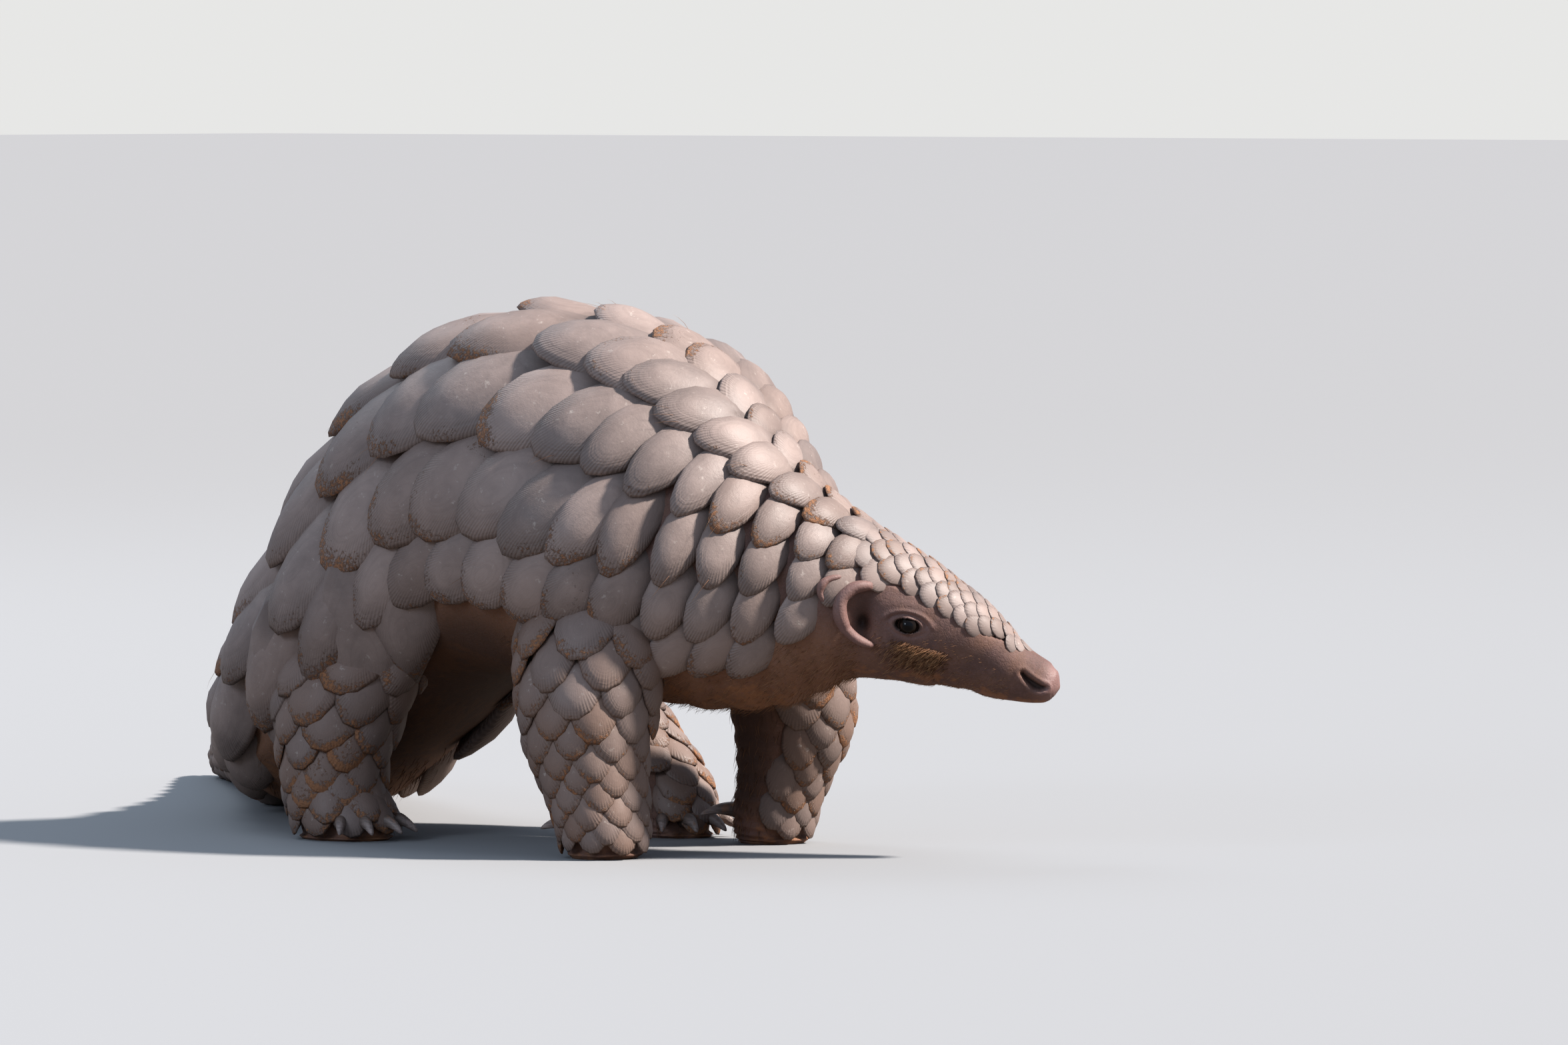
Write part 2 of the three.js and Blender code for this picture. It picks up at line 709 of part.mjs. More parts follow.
for (const { name, whole, material } of solids) {
  const { numProp, vertProperties, triVerts } = whole.getMesh();
  const points = [];
  for (let i = 0; i < vertProperties.length; i += numProp) {
    points.push(...vertProperties.slice(i, i + 3));
  }
  const geometry = new THREE.BufferGeometry();
  geometry.setAttribute('position', new THREE.Float32BufferAttribute(points, 3));
  geometry.setIndex(Array.from(triVerts));
  geometry.translate(-centre.x, -centre.y, 0);
  geometry.computeVertexNormals();
  const mesh = new THREE.Mesh(geometry, material);
  mesh.name = name;
  pangolin.add(mesh);
}

export default pangolin;
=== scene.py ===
"""Looks of a walking Indian pangolin, a still life-size model.

The body is one tube of stations from nose to tail tip, as in the part's source, and so is each
leg. Skin, scales, claws, ears, eyes and hair are all set on these tubes.
"""

import math
import random

import bmesh
import bpy
import numpy as np
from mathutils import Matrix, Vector


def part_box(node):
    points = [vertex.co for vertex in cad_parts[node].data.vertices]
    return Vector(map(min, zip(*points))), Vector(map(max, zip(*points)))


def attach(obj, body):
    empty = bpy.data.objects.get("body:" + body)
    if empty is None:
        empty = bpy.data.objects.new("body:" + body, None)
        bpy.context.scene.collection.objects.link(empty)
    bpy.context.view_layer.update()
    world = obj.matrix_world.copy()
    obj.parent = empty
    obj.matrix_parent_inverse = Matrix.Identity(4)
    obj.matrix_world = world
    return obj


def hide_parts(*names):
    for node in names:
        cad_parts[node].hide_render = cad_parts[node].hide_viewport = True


bl_info = {
    "name": "Pangolin Looks",
    "version": (1, 0, 0),
    "blender": (4, 5, 0),
    "location": "3D View > Sidebar > Pangolin",
    "description": "Makes the skin, scales, claws, eyes, ears and hair of a walking pangolin",
    "category": "Object",
}

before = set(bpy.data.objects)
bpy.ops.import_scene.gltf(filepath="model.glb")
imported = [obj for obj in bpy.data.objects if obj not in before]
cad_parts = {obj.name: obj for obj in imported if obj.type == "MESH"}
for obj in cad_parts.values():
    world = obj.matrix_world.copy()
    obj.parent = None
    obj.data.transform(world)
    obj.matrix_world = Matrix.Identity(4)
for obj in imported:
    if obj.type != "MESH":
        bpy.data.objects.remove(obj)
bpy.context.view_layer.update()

MM = 0.001

# Stations along the body: centre x, y, z, half width, rise above and drop below the centre, in mm
BODY = np.array([
    [158, 67.2, 75, 1, 1, 1],
    [156, 65.9, 75.5, 6, 7, 5.5],
    [152, 63.3, 76.5, 9, 10, 8.5],
    [145, 58.6, 80, 10.5, 11.5, 12],
    [138, 53.7, 85, 13, 12.5, 16.5],
    [131, 49, 91.5, 16, 15, 21],
    [122, 43, 98, 19, 18.5, 25],
    [113.5, 37.3, 102, 21, 22, 28],
    [102.5, 30.2, 107, 23.5, 26, 31],
    [86, 19.5, 113, 28, 32, 37],
    [62, 8, 118, 38, 45, 53],
    [30, 1, 124, 55, 69, 62],
    [-5, 0, 131, 67, 88, 66],
    [-40, 0, 138, 71, 94, 69],
    [-74, 0, 141, 72, 96, 71],
    [-106, 0, 136, 70, 93, 66],
    [-136, 0, 123, 67, 84, 58],
    [-164, 0, 104, 64, 71, 52],
    [-192, 3, 82, 61, 59, 50],
    [-222, 14, 61, 57, 46, 46],
    [-254, 37, 46, 52, 36, 42],
    [-290, 68, 36, 47, 28, 35],
    [-328, 101, 29, 41, 23, 30],
    [-367, 131, 24, 35, 19, 25],
    [-406, 157, 20, 28, 16, 21],
    [-444, 178, 16, 20, 12, 17],
    [-478, 194, 11, 10, 8, 11],
    [-494, 201, 9, 1, 1, 1],
], float)

# Swellings of both flanks: place, spread, angle, fan and height
SWELLINGS = [(12.3, 1.3, 100, 30, 8), (17.3, 1.5, 108, 32, 10)]

# Stations down each leg: centre x, y, z, half length and half width, in mm
LEGS = {
    "foreleg_right": (-1, [
        [-16, -38, 122, 32, 24],
        [-12, -48, 96, 34, 28],
        [-8, -55, 72, 31, 29],
        [-6, -58, 48, 26, 26],
        [-1, -58, 29, 21, 22],
        [3, -58, 14, 19, 20],
        [4, -58, 4, 18, 18],
        [4, -58, 0, 14, 15],
    ]),
    "foreleg_left": (1, [
        [4, 38, 122, 32, 24],
        [8, 47, 96, 32, 28],
        [10, 54, 72, 29, 28],
        [9, 58, 50, 26, 25],
        [4, 58, 30, 20, 21],
        [0, 57, 14, 18, 19],
        [-1, 57, 4, 17, 17],
        [-1, 57, 0, 14, 15],
    ]),
    "hindleg_right": (-1, [
        [-158, -34, 104, 40, 24],
        [-162, -45, 76, 36, 26],
        [-166, -51, 50, 28, 24],
        [-166, -53, 26, 23, 21],
        [-161, -53, 12, 25, 21],
        [-159, -53, 3, 25, 20],
        [-159, -53, 0, 22, 17],
    ]),
    "hindleg_left": (1, [
        [-150, 36, 112, 36, 24],
        [-136, 45, 90, 34, 26],
        [-114, 52, 68, 31, 26],
        [-95, 56, 48, 27, 24],
        [-77, 57, 28, 29, 21],
        [-71, 57, 12, 31, 20],
        [-69, 57, 3, 30, 19],
        [-69, 57, 0, 27, 17],
    ]),
}

# Places on the body: t along the stations, v in degrees from the back's middle
EYE = (7.73, 96)
EAR_HOLE = (8.72, 104)
EAR_RIM = [(8.74, 73), (8.96, 78), (9.14, 88), (9.13, 98), (8.98, 107), (8.74, 115), (8.42, 120)]
EAR_FOLD = [(9.22, 73), (9.42, 79), (9.46, 87), (9.36, 94)]
# The nostril's path with its half width in mm
NOSTRIL = [
    (3.02, 82.7, 0.9), (2.80, 87.9, 1.2), (2.55, 93.1, 1.5), (2.23, 99.5, 1.9), (1.96, 101.5, 1.6),
    (1.7, 98, 1.0),
]
MOUTH = [(1.6, 176), (3, 173), (4.4, 162)]

# Fields of scales from start to end, with no part of a scale past last. Lists of (t, value) give the
# spacing along a row, the reach of the rows down each side, how far the scales turn down the flank,
# the stagger of every other row, and the length and width of a scale by what shows of it. Rows lie
# at the angles given, or at a distance in mm. A leg's field has its middle at an angle from the
# front, and ends short of the sole.
CROWN_FIELD = {
    "start": 3.65,
    "end": 9.0,
    "last": 9.4,
    "spacing": [(3.3, 6.6), (6, 7.6), (8.9, 9.6)],
    "row": [(3.3, 4.3), (6, 4.9), (8.9, 6.3)],
    "reach": [(3.6, 3), (3.9, 16), (4.4, 40), (4.8, 54), (5.3, 66), (6.3, 68), (7, 62), (8.1, 66), (8.9, 66)],
    "turn": [(4, 0), (8, 12), (9, 30)],
    "stagger": [(0, 0.5)],
    "length": [(0, 1.36)],
    "width": [(0, 1.0)],
}
TRUNK_FIELD = {
    "start": 9.25,
    "end": 26.2,
    "last": 26.6,
    "spacing": [
        (9, 12), (10, 14.5), (11.2, 16), (11.6, 20), (12.3, 26), (13, 31), (14, 37), (15, 41), (17, 43),
        (18, 42), (20, 37), (24, 26), (26.5, 14),
    ],
    "rows": [0, 27, 54, 80, 103, 124, 143, 160],
    "reach": [
        (9, 70), (9.4, 90), (9.8, 110), (10.1, 128), (12, 128), (12.5, 112), (14.6, 112), (15.2, 128),
        (20.5, 128), (21.5, 145), (27, 160),
    ],
    "turn": [
        (9, 60), (10.3, 82), (11.3, 80), (12, 64), (12.6, 52), (13.5, 40), (14.2, 34), (16, 29), (18, 20),
        (20, 14), (24, 8),
    ],
    "stagger": [(16.5, 0.0), (19.5, 0.5)],
    "length": [(9, 1.36), (14.5, 1.38), (16, 1.45), (20, 1.4), (27, 1.4)],
    "width": [(9, 1.06), (13, 1.04), (27, 1.04)],
}
LEG_FIELD = {
    "start": 0.9,
    "middle": 62,
    "reach": [(0, 112)],
    "turn": [(0, 0)],
    "stagger": [(0, 0.5)],
    "length": [(0, 1.45)],
    "width": [(0, 1.12)],
}
LEG_SCALES = {
    "fore": {
        "short": 1.4,
        "spacing": [(0, 30), (1.5, 23), (3, 17), (6, 12)],
        "row": [(0, 14), (1.5, 11.5), (3, 8.5), (6, 6.2)],
    },
    "hind": {
        "short": 1.3,
        "spacing": [(0, 30), (1.5, 24), (3, 17), (6, 12)],
        "row": [(0, 15), (1.5, 12.5), (3, 9), (6, 6.8)],
    },
}
# Where the tail's scales start, and the most that a scale bends, by its length
TAIL_START = 18.6
MOST_BEND = 0.36
# How high scales and hair stay over the floor, in m
FLOOR_GAP = 0.0003
# The haunch's marginal scales: the stretch they lie on, their angle, and how much they turn and grow
MARGIN = {"span": (14.8, 15.4, 18.4, 19.4), "angle": (96, 120), "turn": 24, "longer": 0.3}


def along(pairs, t):
    """Value at t of a short list of (t, value) pairs."""
    return np.interp(t, [p[0] for p in pairs], [p[1] for p in pairs])


def smooth(low, high, x):
    """A soft step from 0 at low to 1 at high."""
    f = np.clip((x - low) / (high - low), 0, 1)
    return f * f * (3 - 2 * f)


def hill(x, middle, spread):
    """A round hill of height 1 at its middle."""
    return np.exp(-((x - middle) / spread) ** 2)


def jitter(draw, most):
    """A random number between minus and plus the most."""
    return draw.uniform(-most, most)


def unit(vectors):
    """The vectors at length one."""
    return vectors / np.maximum(np.linalg.norm(vectors, axis=-1, keepdims=True), 1e-12)


def stations_at(table, t):
    """Catmull-Rom values of a table of stations at places t."""
    last = len(table) - 1
    i = np.clip(np.floor(t).astype(int), 0, last - 1)
    f = (t - i)[..., None]
    a, b = table[i], table[i + 1]
    before = np.where((i > 0)[..., None], table[np.maximum(i - 1, 0)], 2 * a - b)
    after = np.where((i + 2 <= last)[..., None], table[np.minimum(i + 2, last)], 2 * b - a)
    bend = 2 * before - 5 * a + 4 * b - after
    twist = 3 * a - before - 3 * b + after
    return 0.5 * (2 * a + (b - before) * f + bend * f ** 2 + twist * f ** 3)


class Trunk:
    """The body's tube. v is the angle from the back's middle in radians, positive to the left."""

    middle = 0.0

    def point(self, t, v, lift=0.0):
        """Points in mm at places t and angles v, raised by lift."""
        t, v, lift = np.broadcast_arrays(np.asarray(t, float), np.asarray(v, float), np.asarray(lift, float))
        small = 1e-3
        at = stations_at(BODY, t)
        tailward = unit(stations_at(BODY, t + small)[..., :3] - stations_at(BODY, t - small)[..., :3])
        left = unit(np.cross(tailward, np.array([0, 0, 1.0])))
        up = np.cross(left, tailward)
        angle = np.degrees(np.abs(np.arctan2(np.sin(v), np.cos(v))))
        height = np.where(np.cos(v) > 0, at[..., 4], at[..., 5])
        swell = lift.copy()
        for place, spread, turn, fan, size in SWELLINGS:
            swell = swell + size * hill(t, place, spread) * hill(angle, turn, fan)
        return (
            at[..., :3]
            + left * ((at[..., 3] + swell) * np.sin(v))[..., None]
            + up * ((height + swell) * np.cos(v))[..., None]
        )

    def size(self, t):
        """Mean radius at t, and the length of one unit of t, in mm."""
        small = 0.05
        at = stations_at(BODY, np.asarray([t]))[0]
        before, after = stations_at(BODY, np.asarray([t - small, t + small]))[:, :3]
        back = self.point(np.array([t - small, t + small]), 0)
        length = (np.linalg.norm(back[1] - back[0]) + np.linalg.norm(after - before)) / (4 * small)
        return (at[3] + at[4]) / 2, length


class Leg:
    """One leg's tube. v is the angle from the front in radians, positive to the left."""

    def __init__(self, side, stations, middle):
        self.side = side
        self.table = np.array(stations, float)
        self.middle = side * math.radians(middle)

    def point(self, t, v, lift=0.0):
        """Points in mm at places t and angles v, raised by lift."""
        t, v, lift = np.broadcast_arrays(np.asarray(t, float), np.asarray(v, float), np.asarray(lift, float))
        at = stations_at(self.table, t)
        x = at[..., 0] + (at[..., 3] + lift) * np.cos(v)
        y = at[..., 1] + (at[..., 4] + lift) * np.sin(v)
        return np.stack([x, y, at[..., 2]], axis=-1)

    def size(self, t):
        """Mean radius at t, and the length of one unit of t, in mm."""
        small = 0.1
        at = stations_at(self.table, np.asarray([t]))[0]
        above, below = stations_at(self.table, np.asarray([t - small, t + small]))[:, 2]
        return (at[3] + at[4]) / 2, (above - below) / (2 * small)


TRUNK = Trunk()
LIMBS = {name: Leg(side, stations, LEG_FIELD["middle"]) for name, (side, stations) in LEGS.items()}


def surface_axes(tube, t, v):
    """Point and directions on a tube: down its length, round it, and outward."""
    small = 0.02
    at = tube.point(t, v)
    way = unit(tube.point(t + small, v) - tube.point(t - small, v))
    turn = unit(tube.point(t, v + small) - tube.point(t, v - small))
    out = unit(np.cross(way, turn))
    outward = np.sum(out * (tube.point(t, v, 1.0) - at), axis=-1, keepdims=True)
    return at, way, turn, out * np.sign(outward)


def axes_at(tube, t, v):
    """The same at a single place of a tube."""
    return [part[0] for part in surface_axes(tube, np.array([t]), np.array([v]))]


def frame_shift():
    """How far the body's own coordinates lie from the frame's, in mm, by the right eye."""
    low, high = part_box("eye_right")
    centre = np.array((low + high) / 2) / MM
    eye = TRUNK.point(EYE[0], -math.radians(EYE[1]), -bpy.context.scene.pangolin_head.eye_depth / MM)
    return centre - eye


def place(points):
    """Body coordinates in mm to the frame's in metres."""
    return (np.asarray(points) + frame_shift()) * MM


# Settings


def number(name, description, default, unit="NONE", subtype="NONE"):
    """A number that the panel shows."""
    return bpy.props.FloatProperty(
        name=name, description=description, default=default, unit=unit, subtype=subtype)


def colour_of(name, description, default):
    """A colour that the panel shows."""
    return bpy.props.FloatVectorProperty(
        name=name, description=description, default=default, subtype="COLOR")


class PangolinHead(bpy.types.PropertyGroup):
    """Sizes of the head."""

    eye_radius: number("Eye radius", "Radius of each eyeball", 0.0048, "LENGTH")
    eye_depth: number("Eye depth", "How deep the eyeball's centre lies", 0.0029, "LENGTH")
    eye_opening: bpy.props.FloatVectorProperty(
        name="Eye opening", description="Half length and half height of the opening",
        default=(0.0053, 0.0030), size=2, unit="LENGTH")
    lid_rise: number("Lid rise", "How far the lids stand over the eyeball", 0.0008, "LENGTH")
    ear_thickness: number("Ear thickness", "Half thickness of the ear's rim", 0.0032, "LENGTH")


class PangolinScales(bpy.types.PropertyGroup):
    """Sizes of the scales."""

    slope: number("Slope", "Rise of a scale from root to tip, by its length", 0.125)
    depth: number("Root depth", "How deep the roots lie, by the scale's length", 0.078)
    thickness: number("Thickness", "Thickness of a scale by its length", 0.03)
    dome: number("Dome", "Rise of a scale's middle by its length", 0.075)
    wobble: number("Wobble", "Unevenness of a scale's edge", 0.07)
    seed: bpy.props.IntProperty(
        name="Seed", description="Seed of the scales' small differences", default=11)


class PangolinColours(bpy.types.PropertyGroup):
    """Colours of the animal."""

    horn: colour_of("Horn", "Grey-brown of the scales", (0.190, 0.152, 0.140))
    horn_pale: colour_of("Pale horn", "Worn and dusty tan", (0.37, 0.292, 0.265))
    horn_warm: colour_of("Warm horn", "Brown that some scales have", (0.22, 0.142, 0.108))
    worn: colour_of("Worn", "Whitish worn specks", (0.58, 0.52, 0.47))
    # Dark horn: grain lines, and painted shade at the scales' roots, which lie under the scale before
    horn_dark: colour_of("Dark horn", "Dark lines and roots", (0.080, 0.062, 0.056))
    soil: colour_of("Soil", "Orange soil in the seams", (0.36, 0.155, 0.06))
    skin: colour_of("Skin", "Purplish brown of bare skin", (0.118, 0.064, 0.055))
    skin_pink: colour_of("Pink skin", "Nose, ears and lips", (0.25, 0.145, 0.132))
    skin_warm: colour_of("Warm skin", "Throat and belly", (0.23, 0.112, 0.062))
    hair: colour_of("Hair", "Hair of face, throat and legs", (0.20, 0.088, 0.038))
    hair_tip: colour_of("Hair tips", "Golden tips of the hair", (0.52, 0.31, 0.15))
    eye: colour_of("Eye", "Dark brown iris", (0.006, 0.004, 0.003))
    claw: colour_of("Claw", "Horn of the claws", (0.11, 0.075, 0.055))


class PangolinStage(bpy.types.PropertyGroup):
    """Camera, lights and floor."""

    azimuth: number("Azimuth", "Camera's angle round the animal", math.radians(42), subtype="ANGLE")
    elevation: number("Elevation", "Camera's angle above the floor", math.radians(2.5), subtype="ANGLE")
    distance: number("Distance", "From the camera to the animal", 4.5, "LENGTH")
    view_width: number("View width", "Width of the view at the animal", 0.69, "LENGTH")
    aim: bpy.props.FloatVectorProperty(
        name="Aim", description="Middle of the view, in the body's own coordinates",
        default=(0.0315, 0.0284, 0.1444), unit="LENGTH")
    sun: number("Sun", "Strength of the sun", 8.0)
    ambient: number("Ambient", "Strength of the sky's light", 0.45)
    floor: colour_of("Floor", "Pale floor", (0.31, 0.32, 0.33))
    floor_thrown: colour_of("Thrown light", "Light that the floor throws back", (0.11, 0.09, 0.075))


SETTINGS = {
    "pangolin_head": PangolinHead,
    "pangolin_scales": PangolinScales,
    "pangolin_colours": PangolinColours,
    "pangolin_stage": PangolinStage,
}


# Meshes


def add_mesh(name, points, faces, attributes):
    """A smooth mesh object from points in the frame, with float or vector attributes by point."""
    mesh = bpy.data.meshes.new(name)
    mesh.from_pydata(np.asarray(points).tolist(), [], faces)
    for key, values in attributes.items():
        values = np.asarray(values, np.float32)
        kind, field = ("FLOAT", "value") if values.ndim == 1 else ("FLOAT_VECTOR", "vector")
        mesh.attributes.new(key, kind, "POINT").data.foreach_set(field, values.ravel())
    mesh.shade_smooth()
    obj = bpy.data.objects.new(name, mesh)
    bpy.context.scene.collection.objects.link(obj)
    return obj


def tube_faces(rings, sides):
    """Faces of a closed tube of rings, with a fan point at each end."""
    faces = []
    for r in range(rings - 1):
        for k in range(sides):
            a, b = r * sides + k, r * sides + (k + 1) % sides
            faces.append((a, b, b + sides, a + sides))
    first, last = rings * sides, rings * sides + 1
    for k in range(sides):
        after = (k + 1) % sides
        faces.append((after, k, first))
        faces.append(((rings - 1) * sides + k, (rings - 1) * sides + after, last))
    return faces


def add_tube(name, rings, masks):
    """A closed tube object from an array of rings of points in mm, with masks by point."""
    points = np.concatenate([rings.reshape(-1, 3), rings[[0, -1]].mean(1)])
    full = {key: np.concatenate([mask.ravel(), mask[[0, -1]].mean(1)]) for key, mask in masks.items()}
    obj = add_mesh(name, place(points), tube_faces(*rings.shape[:2]), full)
    face_outward(obj)
    return obj


def face_outward(obj):
    """Points every face of a closed mesh outwards."""
    work = bmesh.new()
    work.from_mesh(obj.data)
    bmesh.ops.recalc_face_normals(work, faces=work.faces)
    work.to_mesh(obj.data)
    work.free()


def rings_round(line, radii, side, up, count=20, shape=None):
    """Rings of points round a line, from its axes to the side and up. Shape gives a share of the
    radius by the angle."""
    a = np.linspace(0, math.tau, count, endpoint=False)[None, :, None]
    side, up = (np.broadcast_to(axis, line.shape)[:, None] for axis in (side, up))
    radii = radii[:, None, None] * (shape(a) if shape else 1.0)
    return line[:, None] + radii * (side * np.cos(a) + up * np.sin(a))


def evaluated_mesh(obj):
    """The object's mesh with its modifiers applied."""
    bpy.context.view_layer.update()
    depsgraph = bpy.context.evaluated_depsgraph_get()
    return bpy.data.meshes.new_from_object(
        obj.evaluated_get(depsgraph), preserve_all_data_layers=True, depsgraph=depsgraph)


def join(objects, name):
    """Several mesh objects made one."""
    for obj in bpy.context.selected_objects:
        obj.select_set(False)
    for obj in objects:
        obj.select_set(True)
    bpy.context.view_layer.objects.active = objects[0]
    bpy.ops.object.join()
    whole = objects[0]
    whole.name = name
    whole.data.name = name
    whole.select_set(False)
    return whole


# Nodes


class Value:
    """A socket of a node tree. Its operators add math nodes, so sums of sockets read as sums."""

    def __init__(self, socket):
        self.socket = socket
        self.tree = socket.id_data

    def calc(self, operation, *others):
        """The result of a math node, with this value as its first."""
        return calc(self.tree, operation, self, *others)

    def __add__(self, other):
        return self.calc("ADD", other)

    def __sub__(self, other):
        return self.calc("SUBTRACT", other)

    def __rsub__(self, other):
        return calc(self.tree, "SUBTRACT", other, self)

    def __mul__(self, other):
        return self.calc("MULTIPLY", other)

    def __truediv__(self, other):
        return self.calc("DIVIDE", other)

    def __gt__(self, other):
        return self.calc("GREATER_THAN", other)

    def ramp(self, low, high):
        """A soft mask from 0 at low to 1 at high."""
        ends = {"Value": self, "From Min": low, "From Max": high}
        return add_value(
            self.tree, "ShaderNodeMapRange", ends, "Result", interpolation_type="SMOOTHSTEP")

    def mix(self, first, second):
        """Two colours mixed by this mask."""
        both = {6: first, 7: second}
        both = {key: hue if isinstance(hue, Value) else (*hue, 1.0) for key, hue in both.items()}
        return add_value(self.tree, "ShaderNodeMix", {0: self, **both}, 2, data_type="RGBA")


def fill(node, inputs):
    """Gives inputs of a node, by name or number, their numbers or the values that feed them."""
    for key, value in inputs.items():
        if isinstance(value, Value):
            value.tree.links.new(value.socket, node.inputs[key])
        else:
            node.inputs[key].default_value = value


def add_node(tree, kind, inputs, **settings):
    """A node with its settings and inputs."""
    node = tree.nodes.new(kind)
    for key, value in settings.items():
        setattr(node, key, value)
    fill(node, inputs)
    return node


def add_value(tree, kind, inputs=None, result=0, **settings):
    """One result of such a node."""
    return Value(add_node(tree, kind, inputs or {}, **settings).outputs[result])


def calc(tree, operation, *values):
    """The result of a math node."""
    return add_value(tree, "ShaderNodeMath", dict(enumerate(values)), operation=operation)


def vector(operation, first, second):
    """The result of a vector math node."""
    key = "Scale" if operation == "SCALE" else 1
    return add_value(first.tree, "ShaderNodeVectorMath", {0: first, key: second}, operation=operation)


def combined(tree, x, y, z):
    """The vector of three values."""
    return add_value(tree, "ShaderNodeCombineXYZ", {0: x, 1: y, 2: z})


def parts(value):
    """The x, y and z of a vector."""
    return [Value(socket) for socket in add_node(value.tree, "ShaderNodeSeparateXYZ", {0: value}).outputs]


def noise(where, scale, detail=3.0, rough=0.55):
    """A noise texture's value at a place."""
    inputs = {"Vector": where, "Scale": scale, "Detail": detail, "Roughness": rough}
    return add_value(where.tree, "ShaderNodeTexNoise", inputs)


def bumped(height, distance):
    """The normal that a height gives."""
    inputs = {"Height": height, "Distance": distance, "Strength": 1.0}
    return add_value(height.tree, "ShaderNodeBump", inputs, "Normal")


def object_place(tree):
    """The place on the object."""
    return add_value(tree, "ShaderNodeTexCoord", result="Object")


def attribute(tree, name, result="Fac"):
    """A mesh's own attribute in a material."""
    return add_value(tree, "ShaderNodeAttribute", result=result, attribute_name=name)


def named(tree, name, kind="FLOAT_VECTOR"):
    """A named attribute in a geometry nodes tree."""
    return add_value(tree, "GeometryNodeInputNamedAttribute", {"Name": name}, data_type=kind)


def by_name(sockets):
    """Values by the names of their sockets."""
    return {socket.name: Value(socket) for socket in sockets}


def new_group(name, **numbers):
    """A shader node group with named inputs, and these inputs' values."""
    tree = bpy.data.node_groups.new(name, "ShaderNodeTree")
    for key, default in numbers.items():
        face = tree.interface.new_socket(key, in_out="INPUT", socket_type="NodeSocketFloat")
        face.default_value = default
    return tree, by_name(tree.nodes.new("NodeGroupInput").outputs)


def end_group(tree, **results):
    """Gives a shader node group its named results."""
    for key in results:
        tree.interface.new_socket(key, in_out="OUTPUT", socket_type="NodeSocketFloat")
    fill(tree.nodes.new("NodeGroupOutput"), results)


def use_group(tree, name, **inputs):
    """The results of a shader node group placed in a tree."""
    group = bpy.data.node_groups[name]
    return by_name(add_node(tree, "ShaderNodeGroup", inputs, node_tree=group).outputs)


def new_material(name):
    """A material with its node tree and its Principled BSDF."""
    material = bpy.data.materials.new(name)
    material.use_nodes = True
    return material, material.node_tree, material.node_tree.nodes["Principled BSDF"]


def times(colour, factor):
    """A colour made darker or paler."""
    return tuple(factor * part for part in colour)


# Shared effects


def build_soil_group():
    """Soil: a mask of patches of soil, heavier where a seam mask says."""
    tree, source = new_group("Soil patches", Seam=0.0, Amount=0.5, Size=60.0)
    where = object_place(tree)
    both = noise(where, 22.0) * 0.8 + noise(where, source["Size"], 6.0, 0.65) * 0.8
    level = both + source["Seam"] * 0.30 + source["Amount"] * 0.3
    end_group(tree, Mask=level.ramp(1.16, 1.30))


def build_wrinkle_group():
    """Wrinkles: height of fine skin creases and pores."""
    tree, source = new_group("Skin wrinkles", Size=300.0)
    where = object_place(tree)
    drift = add_value(tree, "ShaderNodeTexNoise", {"Vector": where, "Scale": 90.0}, "Color")
    bent = vector("ADD", where, vector("SCALE", drift, 0.012))
    cells = {"Vector": bent, "Scale": source["Size"]}
    gap = add_value(tree, "ShaderNodeTexVoronoi", cells, "Distance", feature="DISTANCE_TO_EDGE")
    crease = gap.ramp(0.0, 0.16)
    end_group(tree, Height=crease * 0.06 + noise(where, 900.0, 4.0, 0.7) * 0.4, Crease=crease)


def build_striation_group():
    """Striations: fine lines down a scale and growth lines across it, by its own coordinates."""
    tree, source = new_group("Horn lines", Across=0.0, Along=0.0, Edge=0.0, Tone=0.0)
    across, offset = source["Across"], source["Tone"] * 37.0
    lines_at = combined(tree, across * 0.25, source["Along"] * 0.04, offset)
    waver = noise(lines_at, 1.0, 2.0, 0.5) * 9.0
    lines = (across * 4.6 + waver).calc("SINE") * 0.5 + 0.5
    growth = noise(combined(tree, source["Edge"] * 14.0, across * 0.03, offset), 1.0, 2.0, 0.5)
    end_group(tree, Height=lines * 0.16 + growth * 0.45, Lines=lines, Growth=growth)


# Materials


